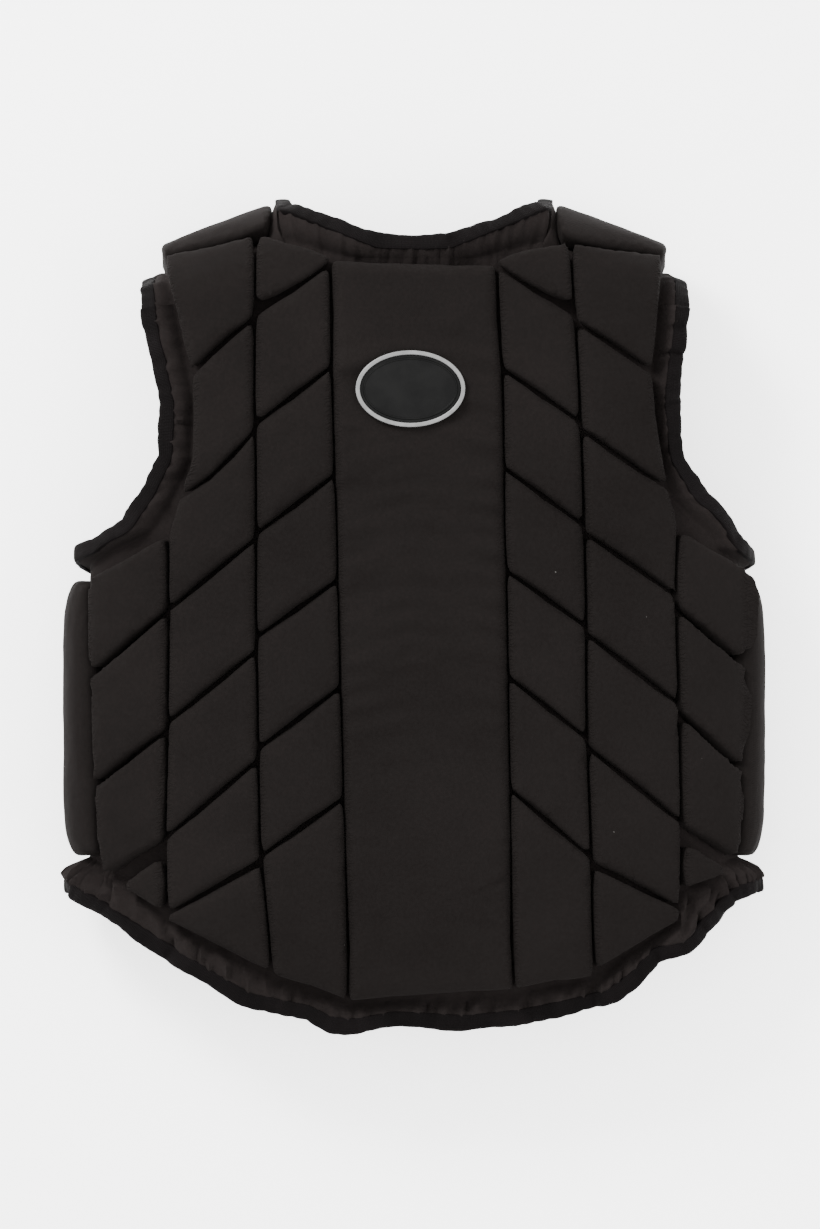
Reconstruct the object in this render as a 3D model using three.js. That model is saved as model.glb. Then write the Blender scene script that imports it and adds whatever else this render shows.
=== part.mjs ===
import * as THREE from 'three'

// Body protector lying on its front, back upwards, mm. X runs across the body, Y towards the neck.
// Driving sizes.
const HALF_WIDTH = 247
const LENGTH = 589
const BACK_RISE = 54
const FRONT_DROP = 46
const FRONT_FLAT = 3
const BACK_ROUND = 2.6
const FRONT_ROUND = 4
const SHOULDER_TURN = 45
const SIDE_EASE = 3
const FOAM = 18
const CLOTH = 2.4
const CLOTH_SPACE = 0.85
const TURN_SPACE = 0.5
const GAP = 0.35
const SEAM = 1.4
const CLEFT = 4.6
const CLEFT_END = 1.4
const BEVEL = 2.2
const CORNER = 3.6
const BAND_WIDTH = 12
const BAND_THICK = 4.4
const BADGE_HALF_LENGTH = 38.3
const BADGE_HALF_HEIGHT = 26.8
const BADGE_THICK = 3
const BADGE_RIM = 3
const BADGE_RIM_RISE = 1.3
const ZIP_THICK = 3.4

// Shares of the length where the parts of the body begin and end.
const ARMPIT = 0.545
const SHOULDER_TOP = 0.999
const SHOULDER_SLOPE = 0.16
const NECK_HALF = 0.36
const NECK_LOW = 0.936
const NECK_FLAT = 0.1
const NECK_SLOPE = 0.17
const ARM_TOP = 0.758
const FRONT_NECK = 0.8
const FRONT_HEM = 0.15
const ZIP_LOW = 0.152
const ZIP_HIGH = 0.796
const SIDE_PAD_LOW = 0.216
const SIDE_PAD_HIGH = 0.536
const SHOULDER_PAD = { inside: 0.42, outside: 0.725, edge: 0.968, slope: 0.115 }
const BADGE_PLACE = { x: -0.01, y: 0.7676 }

// Degrees round the side of the body, 0 at the middle of the back, and over the shoulder.
const SIDE_SEAM = 118
const SIDE_SEAM_GAP = 0.5
const SIDE_PAD_END = 128
const SHOULDER_SEAM = 89.2
const SHOULDER_PAD_END = 150

// Share of the half width where columns of the cloth begin to be counted by angle, and degrees a share.
const ROUNDING = 0.9
const ROUNDING_RATE = 80

// Shares of the half width where the lengthwise seams cross each height of the back.
const SEAM_COLUMNS = ['y', 'sideLeft', 'outerLeft', 'middleLeft', 'innerLeft',
  'innerRight', 'middleRight', 'outerRight', 'sideRight']
const SEAM_ROWS = [
  [0.036, -0.856, -0.697, -0.394, -0.187, 0.286, 0.516, 0.759, 0.912],
  [0.137, -0.867, -0.704, -0.416, -0.190, 0.278, 0.508, 0.761, 0.929],
  [0.232, -0.912, -0.711, -0.438, -0.195, 0.275, 0.503, 0.766, 0.942],
  [0.374, -0.931, -0.703, -0.443, -0.204, 0.268, 0.490, 0.759, 0.950],
  [0.517, -0.939, -0.700, -0.449, -0.214, 0.263, 0.489, 0.748, 0.952],
  [0.612, -0.941, -0.703, -0.448, -0.218, 0.256, 0.483, 0.754, 0.952],
  [0.671, -0.941, -0.635, -0.449, -0.224, 0.255, 0.479, 0.717, 0.952],
  [0.772, -0.941, -0.629, -0.453, -0.232, 0.252, 0.469, 0.680, 0.952],
  [0.932, -0.941, -0.722, -0.450, -0.238, 0.232, 0.445, 0.714, 0.952],
  [0.963, -0.941, -0.739, -0.449, -0.241, 0.229, 0.433, 0.720, 0.952],
]

// Heights, as shares of the length, where each cleft meets the left and the right seam of its column.
const INNER_LEFT = [[0.070, 0.039], [0.213, 0.281], [0.341, 0.413], [0.473, 0.540],
  [0.596, 0.665], [0.726, 0.793], [0.856, 0.916], [0.963, 0.926]]
const MIDDLE_LEFT = [[0.135, 0.070], [0.154, 0.201], [0.234, 0.327], [0.372, 0.456],
  [0.506, 0.589], [0.637, 0.717], [0.785, 0.852], [0.933, 0.956]]
const OUTER_LEFT = [[0.198, 0.229], [0.296, 0.362], [0.426, 0.504], [0.545, 0.597]]
const INNER_RIGHT = [[0.052, 0.068], [0.291, 0.211], [0.425, 0.353], [0.551, 0.486],
  [0.673, 0.606], [0.791, 0.729], [0.913, 0.856], [0.924, 0.955]]
const MIDDLE_RIGHT = [[0.072, 0.135], [0.200, 0.164], [0.341, 0.253], [0.476, 0.394],
  [0.596, 0.523], [0.719, 0.650], [0.847, 0.787], [0.945, 0.936]]
const OUTER_RIGHT = [[0.245, 0.206], [0.382, 0.315], [0.506, 0.441], [0.603, 0.560]]
const SPINE = [[0.038, 0.052], [0.922, 0.916]]
const CORNER_LEFT = { low: [0.160, 0.138], high: [0.180, 0.224], from: -0.79, to: -0.711 }
const CORNER_RIGHT = { low: [0.167, 0.190], high: [0.236, 0.208], from: 0.767, to: 0.868 }

// Hem of the back: height of the cloth's edge along the half width.
const HEM_COLUMNS = ['x', 'y']
const HEM_ROWS = [
  [-1, 0.186], [-0.873, 0.150], [-0.788, 0.129], [-0.643, 0.093], [-0.465, 0.050],
  [-0.297, 0.036], [-0.235, 0.022], [-0.17, 0.020], [-0.054, 0.029], [0.147, 0.024],
  [0.306, 0.031], [0.462, 0.045], [0.555, 0.055], [0.620, 0.075], [0.688, 0.105],
  [0.779, 0.112], [0.873, 0.150], [0.929, 0.175], [1, 0.190],
]

// Armhole edge of the cloth, as shares of the half width, on the back and on the front.
const ARM_COLUMNS = ['y', 'left', 'right', 'front']
const ARM_ROWS = [
  [0.575, 0.960, 0.985, 0.900],
  [0.600, 0.810, 0.920, 0.820],
  [0.640, 0.745, 0.800, 0.720],
  [0.684, 0.690, 0.735, 0.670],
  [0.750, 0.682, 0.716, 0.650],
  [0.790, 0.703, 0.724, 0.660],
  [0.835, 0.728, 0.742, 0.690],
  [0.910, 0.756, 0.758, 0.740],
  [0.940, ARM_TOP, ARM_TOP, ARM_TOP],
]

// Height of the back over the middle plane, as a share of BACK_RISE, along the length.
const RISE_COLUMNS = ['y', 'rise']
const RISE_ROWS = [[0, 0.62], [0.1, 0.8], [0.25, 0.94], [0.42, 1], [0.88, 1], [1, 0.97]]

// Neckline of the front: share of the half width where the cloth ends at each height.
const NECKLINE_COLUMNS = ['y', 'x']
const NECKLINE_ROWS = [[FRONT_NECK, 0.032], [0.806, 0.15], [0.825, 0.25], [0.86, 0.32], [0.91, 0.35]]

// Front pads, each side: height shares and shares of the half width at the low and the high edge.
const FRONT_PADS = [
  { low: 0.185, high: 0.378, inside: 0.075, outsideLow: 0.78, outsideHigh: 0.82 },
  { low: 0.388, high: 0.556, inside: 0.075, outsideLow: 0.82, outsideHigh: 0.80 },
  { low: 0.566, high: 0.780, inside: 0.075, outsideLow: 0.78, outsideHigh: 0.56 },
]

// How fast the pull on a block's corners dies away from them.
const CORNER_SHARPNESS = 6

const COLUMNS_PER_HALF = 16
const NECK_COLUMN = 8
const FRONT_COLUMNS = 9

// Surfaces of the materials.
const fabric = () => new THREE.MeshStandardMaterial({ color: 0x262221, roughness: 0.92, metalness: 0 })
const binding = () => new THREE.MeshStandardMaterial({ color: 0x201c1c, roughness: 0.8, metalness: 0 })
const rubber = () => new THREE.MeshStandardMaterial({ color: 0x141414, roughness: 0.45, metalness: 0 })
const rim = () => new THREE.MeshStandardMaterial({ color: 0xb9b9b6, roughness: 0.5, metalness: 0 })
const zip = () => new THREE.MeshStandardMaterial({ color: 0x1a1919, roughness: 0.55, metalness: 0 })

const protector = new THREE.Group()
protector.name = 'body_protector'

const { lerp, degToRad, radToDeg, clamp } = THREE.MathUtils

// Value of one column of a table at a place along its first column, straight between rows.
function lookup(rows, columns, name, at) {
  const column = columns.indexOf(name)
  const last = rows.length - 1
  if (at <= rows[0][0]) return rows[0][column]
  if (at >= rows[last][0]) return rows[last][column]
  const above = rows.findIndex((row) => row[0] > at)
  const share = (at - rows[above - 1][0]) / (rows[above][0] - rows[above - 1][0])
  return lerp(rows[above - 1][column], rows[above][column], share)
}

// Height share where the cloth begins to turn over the shoulder.
function turnStart(share) {
  return SHOULDER_TOP - SHOULDER_SLOPE * Math.max(0, share - NECK_HALF) - SHOULDER_TURN / LENGTH
}

// Degrees over the shoulder of a place seen from above at a height share.
function bendAt(share, y) {
  const reach = (y - turnStart(share)) * LENGTH / SHOULDER_TURN
  return reach > 0 ? radToDeg(Math.asin(Math.min(1, reach))) : 0
}

// Point at a share of the half width, a height share and a depth under the outside of the pads.
// Across runs 0 to 1 from the middle of the back to the side, then on to 2 at the middle of the front.
function place(across, y, depth, bend = Math.abs(across) > 1 ? 0 : bendAt(Math.abs(across), y)) {
  const onFront = Math.abs(across) > 1
  const share = onFront ? 2 - Math.abs(across) : Math.abs(across)
  const facing = onFront ? -1 : Math.cos(degToRad(bend))
  const power = facing >= 0 ? BACK_ROUND : FRONT_ROUND
  const level = Math.max(0, 1 - share ** power) ** (1 / power)
  const rise = BACK_RISE * lookup(RISE_ROWS, RISE_COLUMNS, 'rise', y)
  const reach = facing >= 0 ? rise : FRONT_DROP + FRONT_FLAT
  const turning = bend > 0 && bend < 180
  const along = (turning ? turnStart(share) : y) * LENGTH
  return new THREE.Vector3(
    Math.sign(across) * (HALF_WIDTH - depth * share ** SIDE_EASE) * share,
    along + (SHOULDER_TURN - depth) * Math.sin(degToRad(bend)),
    Math.max(0, FRONT_DROP + (reach - depth) * level * facing),
  )
}

// Across value at a number of degrees round the side.
function round(turn) {
  const sine = Math.abs(Math.sin(degToRad(turn)))
  return turn <= 90 ? sine ** (2 / BACK_ROUND) : 2 - sine ** (2 / FRONT_ROUND)
}

// Degrees round the side at a share of the half width on the back and on the front.
const backTurn = (share) => radToDeg(Math.asin(share ** (BACK_ROUND / 2)))
const frontTurn = (share) => 180 - radToDeg(Math.asin(share ** (FRONT_ROUND / 2)))

// Even steps of cloth: by share over the back, then by angle round the side.
function evenBack(step) {
  if (step <= ROUNDING) return step
  return round(backTurn(ROUNDING) + (step - ROUNDING) * ROUNDING_RATE)
}
function evenFront(step) {
  if (step <= ROUNDING) return 2 - step
  return round(frontTurn(ROUNDING) - (step - ROUNDING) * ROUNDING_RATE)
}
const stepOfBackTurn = (turn) => ROUNDING + (turn - backTurn(ROUNDING)) / ROUNDING_RATE
const stepOfFrontTurn = (turn) => ROUNDING + (frontTurn(ROUNDING) - turn) / ROUNDING_RATE

// Small uneven waves along a gathered edge, between -1 and 1.
function gather(station) {
  return 0.6 * Math.sin(1.9 * station) + 0.4 * Math.sin(3.1 * station + 0.8)
}

// Turns the faces outwards when the enclosed volume comes out negative.
function outward(points, faces) {
  let volume = 0
  for (const [a, b, c] of faces) volume += points[a].dot(points[b].clone().cross(points[c]))
  return volume < 0 ? faces.map(([a, b, c]) => [a, c, b]) : faces
}

function addSolid(name, points, faces, material) {
  const geometry = new THREE.BufferGeometry()
  geometry.setAttribute('position', new THREE.Float32BufferAttribute(points.flatMap((p) => p.toArray()), 3))
  geometry.setIndex(outward(points, faces).flat())
  geometry.computeVertexNormals()
  const mesh = new THREE.Mesh(geometry, material)
  mesh.name = name
  protector.add(mesh)
  return mesh
}

// Two triangles of a four-sided cell.
const quad = (a, b, c, d) => [[a, b, c], [a, c, d]]

// Indices of the rim of a grid, in order.
function rimOf(rows, columns, first) {
  const at = (row, column) => first + row * (columns + 1) + column
  const loop = []
  for (let column = 0; column < columns; column++) loop.push(at(0, column))
  for (let row = 0; row < rows; row++) loop.push(at(row, columns))
  for (let column = columns; column > 0; column--) loop.push(at(rows, column))
  for (let row = rows; row > 0; row--) loop.push(at(row, 0))
  return loop
}

function gridFaces(rows, columns, first, flipped) {
  const faces = []
  for (let row = 0; row < rows; row++) {
    for (let column = 0; column < columns; column++) {
      const a = first + row * (columns + 1) + column
      const b = a + columns + 1
      faces.push(...(flipped ? quad(a, b, b + 1, a + 1) : quad(a, a + 1, b + 1, b)))
    }
  }
  return faces
}

function wall(lower, upper) {
  return lower.flatMap((corner, i) => {
    const next = (i + 1) % lower.length
    return quad(corner, lower[next], upper[next], upper[i])
  })
}

// Foam block in its cover: flat inner face, upright walls and an outer face with eased edges.
function addPad(name, rows, columns, spot, size, material = fabric()) {
  const points = []
  const [wide, high] = size
  const squared = (u, v) => (Math.abs(2 * u - 1) * Math.abs(2 * v - 1)) ** CORNER_SHARPNESS
  const pulled = (at, share, length) => 0.5 + (at - 0.5) * (1 - 2 * CORNER / length * share)
  const put = (u, v, depth) => {
    const share = squared(u, v)
    points.push(spot(pulled(u, share, wide), pulled(v, share, high), depth))
  }
  const gridOf = (depth, insetU, insetV) => {
    for (let row = 0; row <= rows; row++) {
      for (let column = 0; column <= columns; column++) {
        put(lerp(insetU, 1 - insetU, column / columns), lerp(insetV, 1 - insetV, row / rows), depth)
      }
    }
  }
  gridOf(FOAM, 0, 0)
  const cells = (rows + 1) * (columns + 1)
  const foot = rimOf(rows, columns, 0)
  gridOf(0, BEVEL / wide, BEVEL / high)
  const crown = rimOf(rows, columns, cells)
  const edge = foot.map((_, i) => 2 * cells + i)
  for (const index of foot) {
    const row = Math.floor(index / (columns + 1))
    put((index % (columns + 1)) / columns, row / rows, BEVEL)
  }
  const faces = [...gridFaces(rows, columns, 0, true), ...gridFaces(rows, columns, cells, false),
    ...wall(foot, edge), ...wall(edge, crown)]
  return addSolid(name, points, faces, material)
}

// Block of a column of the back, between two seams and two clefts pinched at the seams.
function addBackPad(name, leftSeam, rightSeam, low, high, rows, columns) {
  const seam = (side, y) => (typeof side === 'number' ? side : lookup(SEAM_ROWS, SEAM_COLUMNS, side, y))
  const middle = (low[0] + low[1] + high[0] + high[1]) / 4
  const wide = (seam(rightSeam, middle) - seam(leftSeam, middle)) * HALF_WIDTH - SEAM
  const tall = (high[0] + high[1] - low[0] - low[1]) / 2 * LENGTH - CLEFT
  const spot = (u, v, depth) => {
    const opening = lerp(CLEFT_END, CLEFT, Math.sin(Math.PI * u)) / 2 / LENGTH
    const floor = lerp(low[0], low[1], u) + opening
    const top = lerp(high[0], high[1], u) - opening
    const y = lerp(floor, top, v)
    const margin = SEAM / 2 / HALF_WIDTH
    const across = lerp(seam(leftSeam, y) + margin, seam(rightSeam, y) - margin, u)
    return place(across, y, depth)
  }
  return addPad(name, rows, columns, spot, [wide, tall])
}

function addColumn(name, leftSeam, rightSeam, clefts, rows, columns) {
  for (let i = 0; i < clefts.length - 1; i++) {
    const steps = i === clefts.length - 2 ? rows + 4 : rows
    addBackPad(`${name}_${i + 1}`, leftSeam, rightSeam, clefts[i], clefts[i + 1], steps, columns)
  }
}

addBackPad('spine_pad', 'innerLeft', 'innerRight', SPINE[0], SPINE[1], 14, 4)
addColumn('inner_pad_left', 'middleLeft', 'innerLeft', INNER_LEFT, 3, 2)
addColumn('inner_pad_right', 'innerRight', 'middleRight', INNER_RIGHT, 3, 2)
addColumn('middle_pad_left', 'outerLeft', 'middleLeft', MIDDLE_LEFT, 3, 3)
addColumn('middle_pad_right', 'middleRight', 'outerRight', MIDDLE_RIGHT, 3, 3)
addColumn('outer_pad_left', 'sideLeft', 'outerLeft', OUTER_LEFT, 3, 4)
addColumn('outer_pad_right', 'outerRight', 'sideRight', OUTER_RIGHT, 3, 4)
addBackPad('corner_pad_left', CORNER_LEFT.from, 'outerLeft', CORNER_LEFT.low, CORNER_LEFT.high, 2, 2)
addBackPad('corner_pad_right', 'outerRight', CORNER_RIGHT.to, CORNER_RIGHT.low, CORNER_RIGHT.high, 2, 2)

// Long pad turning round the side from the outer column towards the front.
function addSidePad(name, side, seamName) {
  const spot = (u, v, depth) => {
    const y = lerp(SIDE_PAD_LOW, SIDE_PAD_HIGH, v)
    const seam = Math.abs(lookup(SEAM_ROWS, SEAM_COLUMNS, seamName, y)) + SEAM / 2 / HALF_WIDTH
    return place(side * round(lerp(backTurn(seam), SIDE_PAD_END, u)), y, depth)
  }
  addPad(name, 8, 6, spot, [FRONT_DROP + BACK_RISE, (SIDE_PAD_HIGH - SIDE_PAD_LOW) * LENGTH])
}
addSidePad('side_pad_left', -1, 'sideLeft')
addSidePad('side_pad_right', 1, 'sideRight')

// Pad standing over the turn of the shoulder.
function addShoulderPad(name, side) {
  const { inside, outside, edge, slope } = SHOULDER_PAD
  const opening = CLEFT / LENGTH / 2
  const spot = (u, v, depth) => {
    const share = lerp(inside, outside, u)
    const low = edge - slope * (share - inside) + opening
    return place(side * share, SHOULDER_TOP, depth, lerp(bendAt(share, low), SHOULDER_PAD_END, v))
  }
  addPad(name, 6, 4, spot, [(outside - inside) * HALF_WIDTH, degToRad(SHOULDER_PAD_END) * SHOULDER_TURN])
}
addShoulderPad('shoulder_pad_left', -1)
addShoulderPad('shoulder_pad_right', 1)

// Plain pads of the front, their outer faces flat on the ground.
function addFrontPad(name, side, shape) {
  const spot = (u, v, depth) => {
    const share = lerp(shape.inside, lerp(shape.outsideLow, shape.outsideHigh, v), u)
    return place(side * (2 - share), lerp(shape.low, shape.high, v), depth)
  }
  const wide = (shape.outsideLow - shape.inside) * HALF_WIDTH
  addPad(name, 3, 4, spot, [wide, (shape.high - shape.low) * LENGTH])
}
FRONT_PADS.forEach((shape, i) => {
  addFrontPad(`front_pad_left_${i + 1}`, -1, shape)
  addFrontPad(`front_pad_right_${i + 1}`, 1, shape)
})

// Cloth.
const CLOTH_DEPTH = FOAM + CLOTH_SPACE
const LEVELS = [ARMPIT, 0.56, 0.58, 0.6, 0.62, 0.65, 0.69, 0.74, 0.79, 0.83]
const LOW_LEVELS = [0.24, 0.32, 0.4, 0.475]
const BENDS = [0, 0.3, 0.6, 0.85, 1]
// Between these heights the columns of the cloth draw in towards the corner of the neck.
const DRAW_IN = { from: 0.69, to: 0.83 }
const HEM_TURN = 0.011
const HEM_STEPS = [0, 0, 0.3, 0.65]

// How far the cloth lifts towards the outside at a gathered edge, from 0 inside to 1 at the edge.
const LIFT = 8
const HEM_LIFT = 6
const ARM_LIFT = 1.4
const SIDE_LIFT = 16
const GATHER = 2.2

// Steps of the cloth over which the front's hem comes down to the sides' height, and the lift grows.
const HEM_SWEEP = { from: 0.3, to: 0.9 }
const SIDE_SWEEP = { from: 0.75, to: 1.1 }
const FRONT_SWEEP = { from: 0.6, to: 0.9 }

function armEdge(y, side) {
  const edge = stepOfBackTurn(SIDE_SEAM)
  if (y <= ARMPIT) return edge
  const first = ARM_ROWS[0][0]
  const name = side < 0 ? 'left' : 'right'
  if (y >= first) return Math.min(edge, lookup(ARM_ROWS, ARM_COLUMNS, name, y))
  const from = lookup(ARM_ROWS, ARM_COLUMNS, name, first)
  return lerp(edge, from, (y - ARMPIT) / (first - ARMPIT))
}

function neckEdge(share) {
  return NECK_LOW + NECK_SLOPE * Math.max(0, share - NECK_FLAT)
}

// Steps of one row of the back from its middle to its edge, with one column kept at the neck's corner.
function backStep(column, edge, towardsTop) {
  const count = Math.abs(column)
  const corner = lerp(edge * NECK_COLUMN / COLUMNS_PER_HALF, NECK_HALF, towardsTop)
  if (count <= NECK_COLUMN) return corner * count / NECK_COLUMN
  return lerp(corner, edge, (count - NECK_COLUMN) / (COLUMNS_PER_HALF - NECK_COLUMN))
}

// Rows of the back cloth: from the hem up, level rows, then rows over the shoulder.
function backPoint(row, column, depth) {
  const side = Math.sign(column) || 1
  if (row < HEM_STEPS.length + LOW_LEVELS.length) {
    const step = backStep(column, armEdge(0, side), 0)
    const across = side * evenBack(step)
    const nearest = clamp(across, -1, 1)
    const hem = Math.abs(across) > 1 ? frontHem(2 - Math.abs(across), side)
      : lookup(HEM_ROWS, HEM_COLUMNS, 'y', nearest)
    if (row >= HEM_STEPS.length) return place(across, LOW_LEVELS[row - HEM_STEPS.length], depth)
    if (row === 0) return place(across, hem, depth - hemLift(step, column))
    return place(across, lerp(hem + HEM_TURN, LOW_LEVELS[0], HEM_STEPS[row]), depth)
  }
  const level = row - HEM_STEPS.length - LOW_LEVELS.length
  if (level < LEVELS.length) {
    const y = LEVELS[level]
    const rising = clamp((y - DRAW_IN.from) / (DRAW_IN.to - DRAW_IN.from), 0, 1)
    const step = backStep(column, armEdge(y, side), rising)
    const lifted = Math.abs(column) === COLUMNS_PER_HALF && y > ARMPIT ? ARM_LIFT + gather(row) : 0
    return place(side * evenBack(step), y, depth - lifted)
  }
  const order = level - LEVELS.length
  const nominal = backStep(column, armEdge(NECK_LOW, side), 1)
  const end = nominal < NECK_HALF - 0.001 ? bendAt(nominal, neckEdge(nominal)) : SHOULDER_SEAM
  const bend = Math.min(SHOULDER_SEAM, end) * BENDS[order]
  const start = turnStart(nominal)
  const y = start + SHOULDER_TURN / LENGTH * Math.sin(degToRad(bend))
  const share = backStep(column, armEdge(y, side), 1)
  const isNeck = Math.abs(column) <= NECK_COLUMN && order === BENDS.length - 1
  const lifted = isNeck ? LIFT + GATHER * gather(column) : 0
  const resting = bend > 0 ? turnStart(share) : y
  return place(side * share, resting, depth - lifted + TURN_SPACE, bend)
}

function frontHem(share, side) {
  const atSide = lookup(HEM_ROWS, HEM_COLUMNS, 'y', side)
  return lerp(FRONT_HEM, atSide, clamp((share - HEM_SWEEP.from) / (HEM_SWEEP.to - HEM_SWEEP.from), 0, 1))
}

function hemLift(step, column) {
  const toSide = clamp((step - SIDE_SWEEP.from) / (SIDE_SWEEP.to - SIDE_SWEEP.from), 0, 1)
  return lerp(HEM_LIFT, SIDE_LIFT, toSide) + GATHER * gather(column)
}

// Cloth of even thickness over a grid of points.
function addCloth(name, rows, firstColumn, lastColumn, pointAt) {
  const columns = lastColumn - firstColumn
  const outer = []
  const inner = []
  for (let row = 0; row <= rows; row++) {
    for (let column = firstColumn; column <= lastColumn; column++) {
      outer.push(pointAt(row, column, CLOTH_DEPTH))
      inner.push(pointAt(row, column, CLOTH_DEPTH + CLOTH))
    }
  }
  const faces = [...gridFaces(rows, columns, 0, false), ...gridFaces(rows, columns, outer.length, true),
    ...wall(rimOf(rows, columns, outer.length), rimOf(rows, columns, 0))]
  addSolid(name, [...outer, ...inner], faces, fabric())
  const pick = (row, column) => {
    const index = row * (columns + 1) + column - firstColumn
    return { outer: outer[index], inner: inner[index] }
  }
  return pick
}

const BACK_ROWS = HEM_STEPS.length + LOW_LEVELS.length + LEVELS.length + BENDS.length - 1
const ARMPIT_ROW = HEM_STEPS.length + LOW_LEVELS.length
const back = addCloth('back_cover', BACK_ROWS, -COLUMNS_PER_HALF, COLUMNS_PER_HALF, backPoint)

// Rows of the front cloth: hem, level rows, then the turn over the shoulder from below.
const FRONT_LEVELS = [0.24, 0.4, ARMPIT, 0.56, 0.58, 0.6, 0.64, 0.7, 0.76, FRONT_NECK, 0.81, 0.835]
const FRONT_BENDS = [180, 163, 146, 128, 109, 180 - SHOULDER_SEAM]
const FRONT_HEM_ROWS = 2

function frontArmEdge(y) {
  const edge = stepOfFrontTurn(SIDE_SEAM + SIDE_SEAM_GAP)
  if (y <= ARMPIT) return edge
  const first = ARM_ROWS[0][0]
  if (y >= first) return lookup(ARM_ROWS, ARM_COLUMNS, 'front', y)
  return lerp(edge, lookup(ARM_ROWS, ARM_COLUMNS, 'front', first), (y - ARMPIT) / (first - ARMPIT))
}

function frontPoint(side, row, column, depth) {
  const share = column / FRONT_COLUMNS
  if (row < FRONT_HEM_ROWS) {
    const step = lerp(NECKLINE_ROWS[0][1], frontArmEdge(0), share)
    const across = evenFront(step)
    const hem = frontHem(2 - across, side)
    if (row > 0) return place(side * across, hem + HEM_TURN, depth)
    const toSide = clamp((step - FRONT_SWEEP.from) / (FRONT_SWEEP.to - FRONT_SWEEP.from), 0, 1)
    const lifted = lerp(0, hemLift(stepOfBackTurn(SIDE_SEAM), side * COLUMNS_PER_HALF), toSide)
    return place(side * across, hem, depth - lifted)
  }
  const level = row - FRONT_HEM_ROWS
  if (level < FRONT_LEVELS.length) {
    const y = FRONT_LEVELS[level]
    const inside = lookup(NECKLINE_ROWS, NECKLINE_COLUMNS, 'x', y)
    const step = lerp(inside, frontArmEdge(y), share)
    return place(side * evenFront(step), y, depth)
  }
  const bend = FRONT_BENDS[level - FRONT_LEVELS.length]
  const nominal = lerp(NECK_HALF, ARM_TOP, share)
  const y = turnStart(nominal) + SHOULDER_TURN / LENGTH * Math.sin(degToRad(bend))
  const width = lerp(NECK_HALF, frontArmEdge(y), share)
  const lifted = column === 0 ? LIFT * clamp((180 - bend) / 60, 0, 1) : 0
  return place(side * width, turnStart(width), depth - lifted, bend)
}

const FRONT_ROWS = FRONT_HEM_ROWS + FRONT_LEVELS.length + FRONT_BENDS.length - 1
const frontLeft = addCloth('front_cover_left', FRONT_ROWS, 0, FRONT_COLUMNS,
  (row, column, depth) => frontPoint(-1, row, column, depth))
const frontRight = addCloth('front_cover_right', FRONT_ROWS, 0, FRONT_COLUMNS,
  (row, column, depth) => frontPoint(1, row, column, depth))

// Folded tape along an edge of the cloth, lying just outside it.
const BAND_SHAPE = [
  { out: 0, up: -0.36 }, { out: 0.55, up: -0.5 }, { out: 1, up: -0.2 },
  { out: 1, up: 0.2 }, { out: 0.55, up: 0.5 }, { out: 0, up: 0.36 },
]

function addBand(name, edge, closed, hand) {
  const count = edge.length
  const middle = edge.map(({ outer, inner }) => outer.clone().add(inner).multiplyScalar(0.5))
  const points = []
  for (let i = 0; i < count; i++) {
    const before = closed ? (i + count - 1) % count : Math.max(0, i - 1)
    const after = closed ? (i + 1) % count : Math.min(count - 1, i + 1)
    const along = middle[after].clone().sub(middle[before]).normalize()
    const up = edge[i].outer.clone().sub(edge[i].inner).normalize()
    const out = along.clone().cross(up).multiplyScalar(hand).normalize()
    const square = out.clone().cross(along).multiplyScalar(hand).normalize()
    for (const corner of BAND_SHAPE) {
      points.push(middle[i].clone()
        .addScaledVector(out, GAP + corner.out * BAND_WIDTH)
        .addScaledVector(square, corner.up * BAND_THICK))
    }
  }
  const ring = (i) => BAND_SHAPE.map((_, k) => i * BAND_SHAPE.length + k)
  const faces = []
  const spans = closed ? count : count - 1
  for (let i = 0; i < spans; i++) faces.push(...wall(ring(i), ring((i + 1) % count)))
  if (!closed) {
    for (const [i, flip] of [[0, true], [count - 1, false]]) {
      const corners = ring(i)
      for (let k = 1; k < corners.length - 1; k++) {
        faces.push(flip ? [corners[0], corners[k + 1], corners[k]] : [corners[0], corners[k], corners[k + 1]])
      }
    }
  }
  addSolid(name, points, faces, binding())
}

const range = (from, to) => Array.from({ length: Math.abs(to - from) + 1 },
  (_, i) => from + Math.sign(to - from) * i)

function armholeEdge(column, front) {
  const behind = range(ARMPIT_ROW, BACK_ROWS).map((row) => back(row, column))
  const armpit = FRONT_HEM_ROWS + FRONT_LEVELS.indexOf(ARMPIT) + 1
  const ahead = range(FRONT_ROWS, armpit).map((row) => front(row, FRONT_COLUMNS))
  return [...behind, ...ahead]
}
addBand('armhole_binding_left', armholeEdge(-COLUMNS_PER_HALF, frontLeft), true, -1)
addBand('armhole_binding_right', armholeEdge(COLUMNS_PER_HALF, frontRight), true, 1)

const neckRow = FRONT_HEM_ROWS + FRONT_LEVELS.indexOf(FRONT_NECK)
addBand('neck_binding', [
  ...range(neckRow, FRONT_ROWS - 1).map((row) => frontLeft(row, 0)),
  ...range(-NECK_COLUMN, NECK_COLUMN).map((column) => back(BACK_ROWS, column)),
  ...range(FRONT_ROWS - 1, neckRow).map((row) => frontRight(row, 0)),
], false, -1)
addBand('hem_binding', [
  ...range(0, FRONT_COLUMNS - 1).map((column) => frontLeft(0, column)),
  ...range(-COLUMNS_PER_HALF, COLUMNS_PER_HALF).map((column) => back(0, column)),
  ...range(FRONT_COLUMNS - 1, 0).map((column) => frontRight(0, column)),
], false, 1)

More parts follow.
